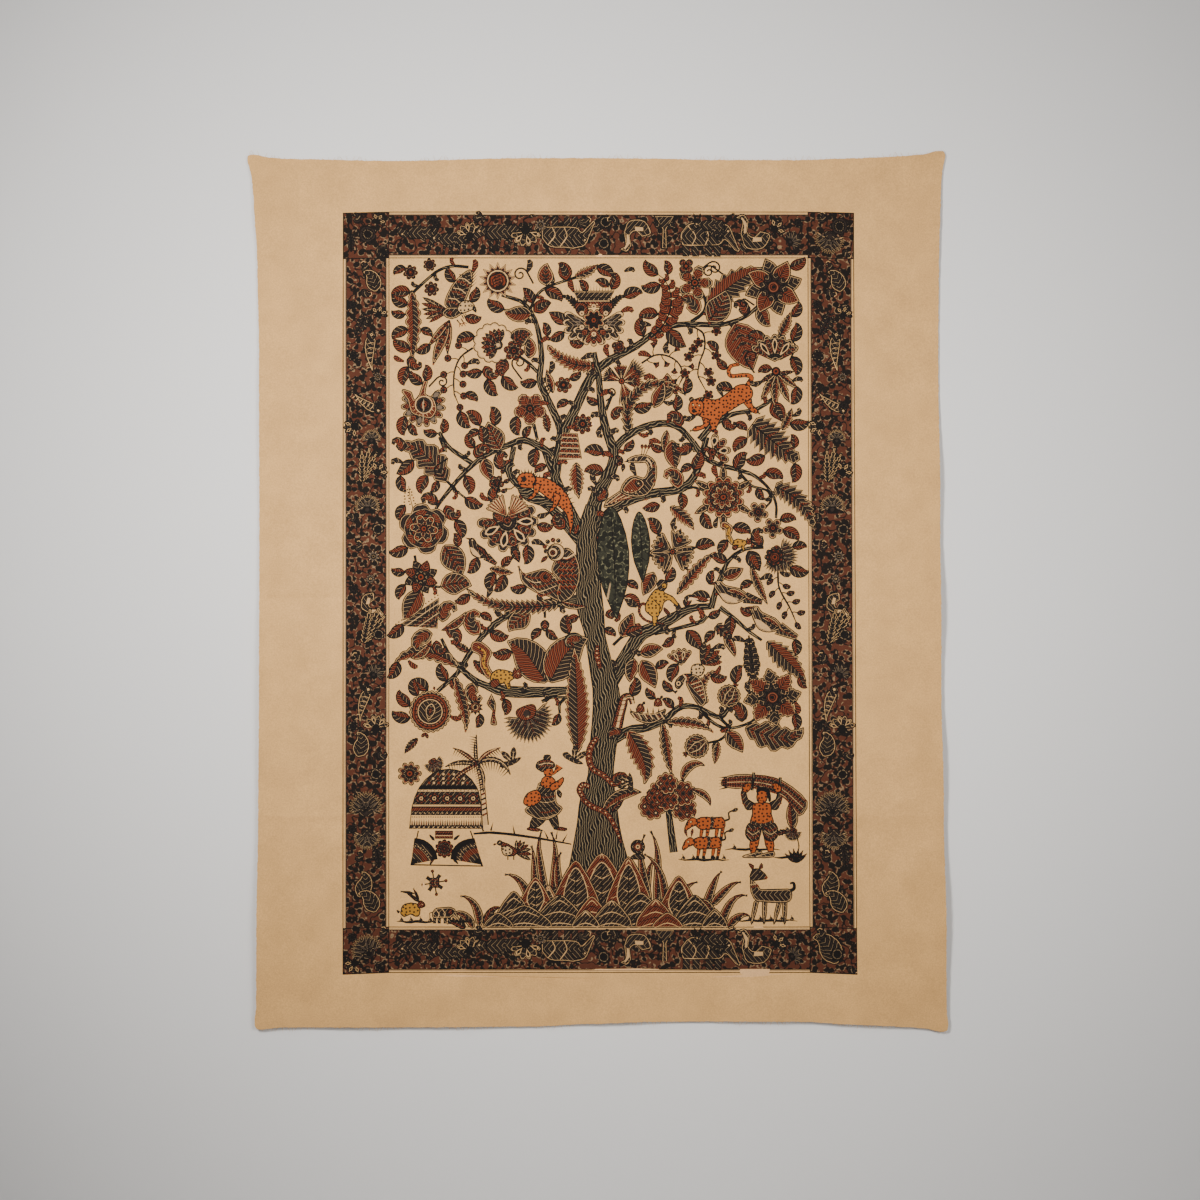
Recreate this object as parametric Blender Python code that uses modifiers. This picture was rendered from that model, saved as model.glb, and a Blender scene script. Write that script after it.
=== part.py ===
"""A kalamkari panel: one length of plain-woven cotton, printed and painted on its front, hung by its
top edge against a wall.

Frame: +Z up, +X to the right as seen from the front, and the printed face looks along -Y. The origin is
the middle of the top edge, in the plane of the wall that the cloth hangs on. All sizes are in metres.

The cloth is one sheet. Its outline is drawn in at the sides, where the edges run between the two top
corners that hold it, and its body stands a few millimetres off the wall in soft flutes. Both come from
the short tables below, in which each row is one station of an edge or one fold.
"""

import math

import bmesh
import bpy

# The cut length.
WIDTH = 1.12
DROP = 1.40
THICKNESS = 0.0012

# The sheet's grid.
COLUMNS = 32
ROWS = 40

# How far the front stands off the wall where there is no fold.
GAP_AT_TOP = 0.0030
GAP_AT_HEM = 0.0062

# Side edges: drop below the top edge, then how far each edge stands out from WIDTH / 2.
SIDES = (
    # drop, left, right
    (0.00, 0.0055, -0.0030),
    (0.06, -0.0030, -0.0080),
    (0.17, -0.0090, -0.0110),
    (0.32, -0.0120, -0.0120),
    (0.58, -0.0125, -0.0095),
    (0.87, -0.0125, -0.0075),
    (1.05, -0.0110, -0.0040),
    (1.25, -0.0085, 0.0000),
    (1.40, -0.0075, 0.0010),
)

# Top and bottom edges: distance from the middle, then how high each edge stands above its straight line.
ENDS = (
    # across, top, bottom
    (-0.56, 0.0060, -0.0010),
    (-0.50, 0.0008, 0.0000),
    (-0.33, -0.0022, 0.0000),
    (-0.10, 0.0022, 0.0012),
    (-0.03, 0.0022, 0.0052),
    (0.08, 0.0015, 0.0088),
    (0.20, -0.0008, 0.0094),
    (0.32, -0.0010, 0.0092),
    (0.42, 0.0020, 0.0042),
    (0.50, 0.0055, 0.0004),
    (0.56, 0.0125, -0.0055),
)

# Soft flutes that run down the cloth, ridges with a height above 0 and troughs with one below 0.
FLUTES = (
    # across at the top, across at the hem, half width, height at the top, height at the hem
    (-0.43, -0.40, 0.060, 0.0004, 0.0022),
    (-0.32, -0.31, 0.050, -0.0003, -0.0016),
    (-0.21, -0.24, 0.085, 0.0006, 0.0026),
    (-0.09, -0.08, 0.060, -0.0004, -0.0019),
    (0.03, 0.05, 0.075, 0.0005, 0.0024),
    (0.15, 0.14, 0.055, -0.0004, -0.0018),
    (0.27, 0.24, 0.090, 0.0006, 0.0028),
    (0.36, 0.34, 0.045, -0.0003, -0.0015),
    (0.44, 0.42, 0.055, 0.0004, 0.0020),
)

# Places where a side edge lifts off the wall.
EDGE_LIFTS = (
    # side, drop, half length, reach into the cloth, lift
    (-1, 0.10, 0.080, 0.050, 0.0040),
    (-1, 0.42, 0.150, 0.060, 0.0048),
    (-1, 0.86, 0.170, 0.070, 0.0080),
    (-1, 1.24, 0.150, 0.080, 0.0085),
    (1, 0.12, 0.070, 0.040, 0.0035),
    (1, 0.52, 0.070, 0.045, 0.0085),
    (1, 0.72, 0.085, 0.055, 0.0125),
    (1, 0.97, 0.090, 0.055, 0.0100),
    (1, 1.21, 0.110, 0.065, 0.0110),
)

# Places where the hem lifts off the wall.
HEM_LIFTS = (
    # across, half width, height of the lift up the cloth, lift
    (-0.36, 0.120, 0.110, 0.0028),
    (-0.02, 0.100, 0.090, 0.0022),
    (0.38, 0.140, 0.120, 0.0036),
)


def smooth(share):
    return share * share * (3 - 2 * share)


def along(table, at, column):
    """The value of a table's column at a place between its rows, smoothed from row to row."""
    for row, following in zip(table, table[1:]):
        if at <= following[0]:
            share = smooth(max(0.0, (at - row[0]) / (following[0] - row[0])))
            return row[column] + share * (following[column] - row[column])
    return table[-1][column]


def hump(distance, half_width):
    return math.exp(-((distance / half_width) ** 2))


def lift_off_wall(across, drop):
    """How far the front stands off the wall at a place on the flat cloth."""
    down = drop / DROP
    lift = GAP_AT_TOP + (GAP_AT_HEM - GAP_AT_TOP) * smooth(down)
    for top, hem, half_width, height_at_top, height_at_hem in FLUTES:
        centre = top + (hem - top) * down
        height = height_at_top + (height_at_hem - height_at_top) * down
        lift += height * hump(across - centre, half_width)
    for side, centre, half_length, reach, height in EDGE_LIFTS:
        inward = WIDTH / 2 - side * across
        lift += height * hump(inward, reach) * hump(drop - centre, half_length)
    for centre, half_width, rise, height in HEM_LIFTS:
        lift += height * hump(across - centre, half_width) * hump(DROP - drop, rise)
    return lift


def place(u, v):
    """A point of the front for u from -1 to 1 across and v from 0 at the top to 1 at the hem."""
    across, drop = u * WIDTH / 2, v * DROP
    left = -WIDTH / 2 - along(SIDES, drop, 1)
    right = WIDTH / 2 + along(SIDES, drop, 2)
    top = along(ENDS, across, 1)
    bottom = -DROP + along(ENDS, across, 2)
    share_across = (u + 1) / 2
    return (
        left + share_across * (right - left),
        -lift_off_wall(across, drop),
        top + v * (bottom - top),
    )


def cotton():
    """Undyed cotton steeped in myrobalan, which leaves it a warm tan."""
    material = bpy.data.materials.new("myrobalan_cotton")
    material.use_nodes = True
    shader = material.node_tree.nodes["Principled BSDF"]
    shader.inputs["Base Color"].default_value = (0.56, 0.39, 0.24, 1)
    shader.inputs["Roughness"].default_value = 0.9
    shader.inputs["Metallic"].default_value = 0.0
    return material


def cloth_panel(collection):
    mesh = bpy.data.meshes.new("cloth_panel")
    sheet = bmesh.new()
    bmesh.ops.create_grid(sheet, x_segments=COLUMNS, y_segments=ROWS, size=1)
    for vertex in sheet.verts:
        vertex.co = place(vertex.co.x, (1 - vertex.co.y) / 2)
    sheet.to_mesh(mesh)
    sheet.free()
    panel = bpy.data.objects.new("cloth_panel", mesh)
    panel.data.materials.append(cotton())
    collection.objects.link(panel)
    body = panel.modifiers.new("cloth thickness", "SOLIDIFY")
    body.thickness = THICKNESS
    body.offset = -1
    return panel


def main():
    for leftover in list(bpy.data.objects):
        bpy.data.objects.remove(leftover)
    collection = bpy.data.collections.new("kalamkari_panel")
    bpy.context.scene.collection.children.link(collection)
    cloth_panel(collection)


main()
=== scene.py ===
"""A kalamkari panel as it hangs: a tree of life with its birds and beasts, drawn with a reed pen on
cotton and dyed with iron, madder, indigo and pomegranate rind, inside a printed border.

The whole design is drawn on the front of one thin closed sheet. Every drawn outline is a line of edges
in that sheet's mesh, every face knows the dye that it took, and the fine hatching inside an outline is
the dye's own pattern, which follows the outline's spine.
"""

import math

import bmesh
import bpy
import numpy as np
from mathutils import Matrix, Vector
from mathutils.bvhtree import BVHTree
from mathutils.geometry import delaunay_2d_cdt
from mathutils.kdtree import KDTree


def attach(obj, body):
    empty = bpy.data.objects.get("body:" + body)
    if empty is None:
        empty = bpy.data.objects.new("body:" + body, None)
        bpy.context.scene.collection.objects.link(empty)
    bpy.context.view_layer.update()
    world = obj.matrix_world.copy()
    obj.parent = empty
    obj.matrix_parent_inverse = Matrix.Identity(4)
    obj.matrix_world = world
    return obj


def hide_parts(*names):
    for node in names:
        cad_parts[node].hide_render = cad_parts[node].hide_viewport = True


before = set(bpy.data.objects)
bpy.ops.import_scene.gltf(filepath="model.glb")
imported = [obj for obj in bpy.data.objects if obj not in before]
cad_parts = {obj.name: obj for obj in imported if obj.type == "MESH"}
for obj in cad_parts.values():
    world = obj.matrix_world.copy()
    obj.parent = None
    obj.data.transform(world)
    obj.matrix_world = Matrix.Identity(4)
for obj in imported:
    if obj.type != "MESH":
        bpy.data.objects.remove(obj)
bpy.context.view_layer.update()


# ---- Drawing tools ----------------------------------------------------------------------------------
# The design is drawn in centimetres on the cloth, x to the right of the middle and drop below the top
# edge, as closed outlines laid one over another. Each is filled with one dye, and has a spine: the line
# that its hatching follows, or the single point that its hatching goes round.

CLOTH, BLACK, BROWN, RUST, ORANGE, YELLOW, CREAM, GREEN, OLIVE, ASH, SPECK, EARTH, SHADE = range(13)

# Pen widths.
FINE = 0.12
LINE = 0.17
BOLD = 0.24

LEAST_MARK = 0.19  # cm; the pen makes nothing smaller
SLACK = 0.055  # cm that an outline may stray from its curve, so that the mesh stays light
PALE_LINE_FROM = 3.4  # cm, the size from which a shape has a pale line just inside its edge
PALE_LINE = 0.08  # cm

PRINT = []


def ray(r, a):
    """The point at a distance and an angle in radians round a pen's middle."""
    return r * math.cos(a), r * math.sin(a)


def other(dye):
    """The second dye of a motif whose first is brown or rust."""
    return BROWN if dye == RUST else RUST


def curve(points, closed=False, steps=4):
    """A smooth curve through a few points."""
    p = np.asarray(points, float)
    p = np.vstack([p[-1:], p, p[:2]]) if closed else np.vstack([2 * p[0] - p[1], p, 2 * p[-1] - p[-2]])
    a, b, c, d = p[:-3], p[1:-2], p[2:-1], p[3:]
    t = np.linspace(0, 1, steps, endpoint=False)[:, None, None]
    q = 2 * b + (c - a) * t + (2 * a - 5 * b + 4 * c - d) * t**2 + (3 * b - a - 3 * c + d) * t**3
    q = (q / 2).transpose(1, 0, 2).reshape(-1, 2)
    return q if closed else np.vstack([q, p[-2]])


def sideways(path, closed=False):
    """The unit normal to the left of a path at each of its points."""
    step = np.roll(path, -1, 0) - np.roll(path, 1, 0) if closed else np.gradient(path, axis=0)
    normal = np.stack([-step[:, 1], step[:, 0]], 1)
    return normal / np.maximum(np.hypot(*normal.T), 1e-9)[:, None]


def ribbon(path, widths):
    """The outline of a stroke along a path, with its widths at even stations."""
    share = np.linspace(0, 1, len(path))
    half = np.interp(share, np.linspace(0, 1, len(widths)), widths)[:, None] / 2
    side = sideways(path) * half
    return np.vstack([path + side, (path - side)[::-1]])


def inset(outline, by):
    """A closed outline drawn in all round."""
    x, y = outline.T
    turns_left = np.sum(x * np.roll(y, -1) - y * np.roll(x, -1)) > 0
    return outline + sideways(outline, True) * (by if turns_left else -by)


def radial(count, outer, notch, sharp=0.0, start=0.0, sweep=360.0, steps=5):
    """A ring of petals as one outline, with round lobes at sharp 0 and points at sharp 1."""
    t = np.arange(count * steps + (sweep < 360)) / steps
    phase = t % 1
    lobe = (1 - sharp) * np.sin(np.pi * phase) ** 0.6 + sharp * (1 - np.abs(2 * phase - 1)) ** 1.2
    r = notch + (outer - notch) * lobe
    a = np.radians(start + t / count * sweep)
    ring = np.stack([r * np.cos(a), r * np.sin(a)], 1)
    return ring if sweep >= 360 else np.vstack([ring, [[0, 0]]])


def disc(x, y, r, sides=10):
    """A round spot."""
    a = np.arange(sides) * 2 * np.pi / sides
    return np.stack([x + r * np.cos(a), y + r * np.sin(a)], 1)


def drop(start, end, half, steps=2):
    """A teardrop along x with its point at the start."""
    middle = start + 0.6 * (end - start)
    return curve([(start, 0), (middle, -half), (end, 0), (middle, half)], True, steps)


def eased(outline, slack):
    """An outline without the points that it can spare."""
    for turn in range(6):
        before, chord = np.roll(outline, 1, 0), np.roll(outline, -1, 0) - np.roll(outline, 1, 0)
        off = chord[:, 0] * (outline - before)[:, 1] - chord[:, 1] * (outline - before)[:, 0]
        spare = np.abs(off) < slack * np.hypot(*chord.T)
        spare[turn % 2::2] = False
        if len(outline) - spare.sum() > 3:
            outline = outline[~spare]
    return outline


def ink(dye, outline, spine):
    """Lays one shape on the cloth, unless it is too small for the pen."""
    if np.ptp(outline, axis=0).max() > LEAST_MARK:
        PRINT.append((dye, eased(np.asarray(outline, float), SLACK), np.asarray(spine, float)))


class Pen:
    """Draws in a motif's own frame: its x runs forward, and size is what 1 stands for in centimetres."""

    def __init__(self, x, drop, turn=0.0, size=1.0, flip=1):
        c, s = math.cos(math.radians(turn)), math.sin(math.radians(turn))
        self.origin = np.array([x, -drop], float)
        self.axes = size * np.array([[c, s], [-flip * s, flip * c]])
        self.size = size

    def at(self, points):
        """Places on the cloth for places in the motif's frame."""
        return self.origin + np.asarray(points, float) @ self.axes

    def part(self, x, y, turn=0.0, size=1.0, flip=1):
        """A pen for one piece of the motif."""
        piece = Pen(0, 0, turn, size, flip)
        piece.origin = self.at((x, y))
        piece.axes = piece.axes @ self.axes
        piece.size = self.size * size
        return piece

    def fill(self, dye, outline, spine=((0, 0), (1, 0))):
        """A flat shape with no drawn edge."""
        ink(dye, self.at(outline), self.at(spine))

    def shape(self, dye, outline, rim=LINE, spine=((0, 0), (1, 0))):
        """A filled outline with a drawn edge and, on a larger one, a pale line just inside it."""
        outer, spine = self.at(outline), self.at(spine)
        ink(BLACK, outer, spine)
        if np.ptp(outer, axis=0).max() > PALE_LINE_FROM and rim > FINE and dye in (BROWN, RUST):
            ink(CREAM, inset(outer, rim), spine)
            rim += PALE_LINE
        ink(dye, inset(outer, rim), spine)

    def body(self, points, dye, steps=3, rim=LINE):
        """A smooth filled outline through a few points."""
        self.shape(dye, curve(points, True, steps), rim)

    def line(self, dye, path, *widths):
        """A stroke along a path, with its widths at even stations."""
        path = self.at(path)
        ink(dye, ribbon(path, widths), path)

    def spike(self, dye, base, tip, width=LINE):
        """A short stroke that runs out to a point."""
        a, b = self.at(base), self.at(tip)
        along = b - a
        side = np.array([-along[1], along[0]]) / max(np.hypot(*along), 1e-9) * width / 2
        ink(dye, [a + side, a - side, b], (a, b))

    def bead(self, dye, x, y, r, sides=6):
        """A flat round spot."""
        self.fill(dye, disc(x, y, r, sides), ((x, y),))


# ---- Leaves -----------------------------------------------------------------------------------------


class Rib:
    """A leaf's midrib of length 1, which turns evenly and may hook over at its tip."""

    def __init__(self, turn=0.0, hook=0.0):
        s = np.linspace(0, 1, 33)
        heading = np.radians(turn * (s - 0.3) + hook * s**3)
        step = np.stack([np.cos(heading), np.sin(heading)], 1) / 32
        self.s = s
        self.p = np.vstack([[0, 0], np.cumsum(step[:-1], 0)])
        self.n = np.stack([-np.sin(heading), np.cos(heading)], 1)

    def at(self, s, out=0.0):
        """Places along the rib, or off to its left."""
        s = np.atleast_1d(s)
        p = np.stack([np.interp(s, self.s, self.p[:, k]) for k in (0, 1)], 1)
        n = np.stack([np.interp(s, self.s, self.n[:, k]) for k in (0, 1)], 1)
        return p + n * np.reshape(out, (-1, 1))

    def blade(self, s, half):
        """The outline round the rib, with its half widths at some stations."""
        return np.vstack([self.at(s, half), self.at(s[::-1], -half[::-1])])


def leaf(pen, width=0.3, turn=0, hook=0, widest=0.8, teeth=0, depth=0.3, dye=BROWN, accent=RUST,
         style="half", crenate=False):
    """A leaf from its stalk at 0 to its tip at 1."""
    rib = Rib(turn, hook)
    spine = rib.p[::4]

    def half(s):
        return width / 2 * np.sin(np.pi * np.clip(s, 0.01, 0.99) ** widest) ** 0.8

    if teeth and crenate:
        s = np.linspace(0, 1, 3 * teeth + 1)
        bite = 1 - depth * (1 - np.abs(np.sin(np.pi * teeth * s)))
    elif teeth:
        start = np.arange(teeth) / teeth
        s = np.append(np.stack([start, start + 0.75 / teeth], 1).ravel(), 1)
        bite = np.append(np.tile([1 - depth, 1], teeth), 1)
    else:
        s = np.linspace(0, 1, 9)
        bite = 1
    pen.shape(dye, rib.blade(s, half(s) * bite), spine=spine)
    large = pen.size * width > 1.0
    reach = (1 - depth if teeth else 0.9) * max(0.3, 1 - 0.5 / (pen.size * width))
    s = np.linspace(0.08, 0.9, 6)
    if style == "half":
        pen.fill(accent, np.vstack([rib.at(s), rib.at(s[::-1], half(s[::-1]) * reach)]), spine)
    elif style == "heart":
        pen.shape(accent, rib.blade(s[1:], half(s[1:]) * 0.5), FINE, spine=spine)
    elif style == "stripe":
        for k in range(0, 5 if large else 3):
            a = 0.1 + (0.16 if large else 0.26) * k
            for side in (1, -1):
                end = rib.at(a + 0.14, side * half(a + 0.14) * reach)[0]
                pen.spike(accent, rib.at(a)[0], end, 0.11 * pen.size if pen.size < 5 else 0.5)
    if style != "heart":
        pen.line(BLACK, rib.at(np.linspace(0.0, 0.9, 6)), 0.16 if large else FINE, 0.07)


def curl(pen, dye=BROWN, accent=RUST, width=0.5):
    """A small leaf rolled over at its tip."""
    pen = pen.part(0, 0, 0, 1.3)
    rib = Rib(30, 230)
    s = np.linspace(0, 1, 10)
    pen.shape(dye, rib.blade(s, width / 2 * np.sin(np.pi * s**0.75) ** 0.8 + 0.02), spine=rib.p[::4])
    s = np.linspace(0.14, 0.75, 5)
    pen.fill(accent, rib.blade(s, width / 2 * np.sin(np.pi * s**0.75) ** 0.8 * 0.5), rib.p[::4])


def tendril(pen):
    """A stalk that ends in a coil."""
    t = np.linspace(0, 1, 17)
    a = 1.4 * 2 * np.pi * t**1.2
    r = 0.42 * (1 - 0.82 * t)
    path = np.vstack([[[0, -0.25]], np.stack([0.55 + r * np.sin(a), 0.42 - r * np.cos(a)], 1)])
    pen.line(BLACK, path, 0.22 * 1.3, 0.22)


def fern(pen, count=9, reach=0.2, turn=0, hook=0, dye=RUST, lean=50, curled=120):
    """A frond of hooked leaflets on both sides of a stalk."""
    rib = Rib(turn, hook)
    little = Rib(10, -curled)
    t = np.linspace(0, 1, 6)
    lobe = little.blade(t, 0.26 * np.sin(np.pi * t**0.6) ** 0.7 + 0.04)
    for k in range(count):
        s = 0.06 + 0.88 * k / count
        along = (rib.at(s + 0.02) - rib.at(s))[0]
        heading = math.degrees(math.atan2(along[1], along[0]))
        for side in (1, -1):
            piece = pen.part(*rib.at(s)[0], heading + side * lean, reach * (1 - 0.6 * abs(2 * s - 0.8)),
                             side)
            piece.shape(dye, lobe, FINE, spine=little.p[::6])
    pen.line(BLACK, rib.at(np.linspace(0, 1, 9)), 0.3, 0.12)


def feather(pen, count=10, reach=0.22, turn=0, hook=0, dye=BROWN, accent=RUST, bars=True):
    """A plume: one outline with a comb of barbs, barred in a second dye."""
    rib = Rib(turn, hook)
    start = np.arange(count) / count * 0.94
    s = np.append(np.stack([start, start + 0.8 / count], 1).ravel(), 1)
    wide = reach * np.sin(np.pi * (0.08 + 0.9 * s) ** 0.7) ** 0.6
    wide[::2] *= 0.62
    wide[-1] = 0
    pen.shape(dye, rib.blade(s, wide), spine=rib.p[::4])
    for k in range(1, count, 2):
        a = 0.04 + 0.88 * k / count
        w = reach * math.sin(math.pi * (0.08 + 0.9 * a) ** 0.7) ** 0.6
        for side in (1, -1) if bars else ():
            pen.spike(accent, rib.at(a)[0], rib.at(min(a + 0.09, 1), side * w * 0.72)[0], BOLD * 1.8)
    pen.line(BLACK, rib.at(np.linspace(0, 1, 8)), 0.24, 0.08)


# ---- Flowers ----------------------------------------------------------------------------------------


def heart(pen, r, dye=RUST):
    """The eye of a flower."""
    pen.bead(BLACK, 0, 0, r, 12)
    pen.bead(dye, 0, 0, max(r - LINE / pen.size, r * 0.3), 12)
    if pen.size * r > 0.45:
        for k in range(7):
            a = 2 * math.pi * k / 7
            pen.bead(CREAM, *ray(0.62 * r, a), 0.07 / pen.size, 4)
        pen.bead(BLACK, 0, 0, r * 0.3, 7)


def bloom(pen, petals=8, notch=0.62, sharp=0.0, eye=0.26, dye=BROWN, accent=RUST, start=0, halo=None):
    """An open flower of radius 1."""
    pen.shape(dye, radial(petals, 1, notch, sharp, start, steps=5 if sharp < 0.5 else 4), spine=((0, 0),))
    step = 360 / petals
    for k in range(petals):
        petal = pen.part(0, 0, start + (k + 0.5) * step)
        wide = 0.55 * math.sin(math.radians(step / 2))
        if halo is not None:
            petal.fill(halo, drop(eye, 0.86, wide * 1.25))
            petal.fill(dye, drop(eye, 0.78, wide))
        petal.fill(accent, drop(eye * 0.9, 0.74 if sharp < 0.5 else 0.68, wide * 0.8))
        petal.spike(BLACK, (eye, 0), (0.62, 0), LINE)
        pen.part(0, 0, start + k * step).spike(BLACK, (eye, 0), (notch, 0), LINE * 1.5)
    heart(pen, eye)


def layered(pen, outer=10, middle=6, sharp=0.0, dye=BROWN, accent=RUST, start=0, eye=0.2):
    """A full flower with a second ring of petals."""
    bloom(pen, outer, 0.78, sharp, 0.5, dye, accent, start)
    bloom(pen.part(0, 0, start + 12, 0.6), middle, 0.6, 0.2, eye / 0.6, accent, dye)
    for k in range(middle):
        a = math.radians(start + 12 + k * 360 / middle)
        pen.bead(CREAM, *ray(0.5, a), 0.09 / pen.size, 5)


def sunflower(pen, points=14, dye=BROWN, accent=RUST, core=0.55):
    """A round fruit or flower in a ring of spiky sepals."""
    pen.shape(accent, radial(points, 1, 0.66, 0.9, steps=4), spine=((0, 0),))
    for k in range(points):
        petal = pen.part(0, 0, (k + 0.5) * 360 / points)
        petal.spike(BLACK if k % 2 else dye, (0.5, 0), (0.84, 0), BOLD * 1.4)
    for r, ring in ((core + 0.08, BLACK), (core + 0.02, CREAM), (core - 0.05, BLACK), (core - 0.1, accent)):
        pen.bead(ring, 0, 0, r, 14)
    for k in range(5):
        y = (k - 2) * core * 0.3
        pen.line(BLACK, [(-0.6 * core, y - 0.1), (0, y + 0.05), (0.6 * core, y + 0.15)], 0.06, 0.16, 0.06)


def fan(pen, petals=7, sweep=210, notch=0.75, sharp=0.0, eye=0.22, dye=BROWN, accent=RUST, cup=True):
    """A flower seen from the side: a fan of petals along +x over a cup."""
    start = -sweep / 2
    pen.shape(dye, radial(petals, 1, notch, sharp, start, sweep, 5 if sharp < 0.5 else 4), spine=((0, 0),))
    step = sweep / petals
    for k in range(petals):
        petal = pen.part(0, 0, start + (k + 0.5) * step)
        wide = 0.6 * math.sin(math.radians(step / 2))
        petal.fill(accent if k % 2 == 0 else CREAM, drop(0.3, 0.84, wide))
        petal.fill(BLACK if k % 2 else dye, drop(0.4, 0.77, wide * 0.6))
        pen.part(0, 0, start + k * step).spike(BLACK, (0.2, 0), (notch, 0), LINE * 1.4)
    if cup:
        for side in (1, -1):
            curl(pen.part(-0.05, 0, 180 - side * 60, 0.5, side), dye, accent)
        pen.shape(accent, disc(-0.05, 0, eye, 10))
        pen.bead(BLACK, -0.05, 0, eye * 0.4)


def spray_end(pen, kind):
    """What grows on the end of a stalklet."""
    if kind == "berry":
        pen.shape(RUST, disc(0.5, 0, 0.55, 8))
        pen.bead(BROWN, 0.55, 0, 0.28)
        pen.bead(BLACK, 0.6, 0.02, 0.12, 4)
    elif kind == "bud":
        pen.body([(0, 0), (0.35, -0.42), (0.85, -0.3), (1.1, 0), (0.85, 0.3), (0.35, 0.42)], BROWN, 2)
        pen.fill(RUST, drop(0.15, 0.85, 0.2))
    elif kind == "bell":
        pen.shape(RUST, [(0, 0.12), (0.4, 0.3), (0.75, 0.62), (0.9, 0.25), (1.05, 0), (0.9, -0.25),
                         (0.75, -0.62), (0.4, -0.3), (0, -0.12)])
        for y in (-0.35, 0.0, 0.35):
            pen.bead(BLACK, 1.25, y, 0.1, 4)
    elif kind == "leaf":
        leaf(pen, 0.66, 20, 60)
    elif kind == "flower":
        bloom(pen.part(0.6, 0, 0, 0.66), 5, 0.6, 0, 0.3)


def stroke(route, *widths, dye=BLACK, steps=5):
    """A drawn line along a route of places on the cloth."""
    path = curve(route, steps=steps) * [1, -1]
    ink(dye, ribbon(path, widths), path)
    return path


def spray(route, ends, kind="berry", size=1.1, stalk=1.0):
    """A stem with stalklets to its left and right, which all carry the same thing."""
    path = stroke(route, 0.2 * 1.6, 0.2 * 1.1)
    steps = np.append(0, np.cumsum(np.hypot(*np.diff(path, axis=0).T)))
    for k, share in enumerate(np.linspace(0.1, 1, ends)):
        d = share * steps[-1]
        x, y = [np.interp(d, steps, path[:, c]) for c in (0, 1)]
        x2, y2 = [np.interp(max(d - 0.6, 0), steps, path[:, c]) for c in (0, 1)]
        heading = math.degrees(math.atan2(y - y2, x - x2))
        side = 0 if share == 1 else 1 if k % 2 else -1
        pen = Pen(x, -y, heading + side * 62, stalk)
        pen.line(BLACK, [(0, 0), (0.5, 0.1 * side), (1, 0)], 0.18, 0.14)
        spray_end(pen.part(1, 0, 0, size / stalk), kind)


# ---- Wood -------------------------------------------------------------------------------------------


def branch(route, widths):
    """A limb, with bark that runs along it."""
    path = curve(route, steps=5) * [1, -1]
    ink(BLACK, ribbon(path, widths), path)
    ink(OLIVE, ribbon(path, [max(w - 2 * LINE, 0.05) for w in widths]), path)
    return path


def trunk(left, right):
    """The wood between two edges."""
    edges = []
    for side in (left, right):
        path = curve(side, steps=4) * [1, -1]
        share = np.linspace(0, 1, len(path))
        edges.append(np.stack([np.interp(np.linspace(0, 1, 44), share, path[:, k]) for k in (0, 1)], 1))
    outline = np.vstack([edges[0], edges[1][::-1]])
    middle = (edges[0] + edges[1]) / 2
    ink(BLACK, outline, middle)
    ink(OLIVE, inset(outline, LINE), middle)


# ---- The border -------------------------------------------------------------------------------------

FRAME_LEFT, FRAME_RIGHT, FRAME_TOP, FRAME_FOOT = -41.3, 41.2, 8.6, 131.5
BAND = 7.5  # width of the printed band, guard lines included
GUARD = 0.62  # width of the guard lines on each side of a band
BOW = (0.55, 0.85)  # how far the top and bottom lines bow outwards at the middle
SPREAD = 0.5  # how far the right side runs out at the foot
HALF_FRAME = 41
# Lines of a band's guard: how far in from its edge each starts, and its dye.
GUARD_LINES = ((0, BLACK), (0.13, CLOTH), (0.34, ASH), (0.42, CREAM), (0.50, BLACK), (GUARD, EARTH))
STATIONS = 13  # places along a band's edge, so that it can bow
LEAST_RED = 1.6  # cm; smaller touches of red in the border's motifs are left out
LEAST_MOTIF = 0.26  # cm; so is anything smaller than this
BORDER_SLACK = 0.09  # cm

# Motifs of the two blocks that were printed round the cloth.
# Along the top block from its left end: motif, along, up from the middle, turn, size, flip.
TOP_BLOCK = (
    ("ox", 4.6, 0.2, 0, 1.0, -1), ("ox", 9.6, -0.7, 0, 0.95, 1), ("rosette", 7.4, 1.9, 0, 0.9, 1),
    ("palmette", 13.0, -0.4, 90, 2.4, 1), ("ox", 17.4, 0.3, 0, 1.15, 1), ("curls", 13.4, 2.3, 20, 1.6, 1),
    ("palmette", 22.0, 0.4, -90, 2.7, 1), ("elephant", 28.2, -0.4, 0, 1.6, -1),
    ("daisy", 24.4, 1.3, 0, 1.1, 1), ("curls", 30.2, 2.0, -20, 1.9, 1), ("rosette", 34.9, 1.7, 0, 1.3, 1),
    ("rosette", 34.6, -1.7, 0, 1.2, 1), ("swan", 39.6, 0.2, 0, 1.15, -1), ("curls", 36.8, 1.2, 120, 1.6, 1),
    ("vase", 44.4, 0.2, 0, 1.0, 1), ("elephant", 51.0, -0.4, 0, 1.75, 1), ("ox", 51.6, 1.4, 0, 0.8, 1),
    ("swan", 58.6, -0.4, 0, 1.25, 1), ("palmette", 62.2, 0.8, 30, 1.8, 1),
    ("thistle", 65.0, -1.0, 30, 1.7, 1), ("rosette", 66.0, 1.9, 0, 0.9, 1),
)
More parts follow.
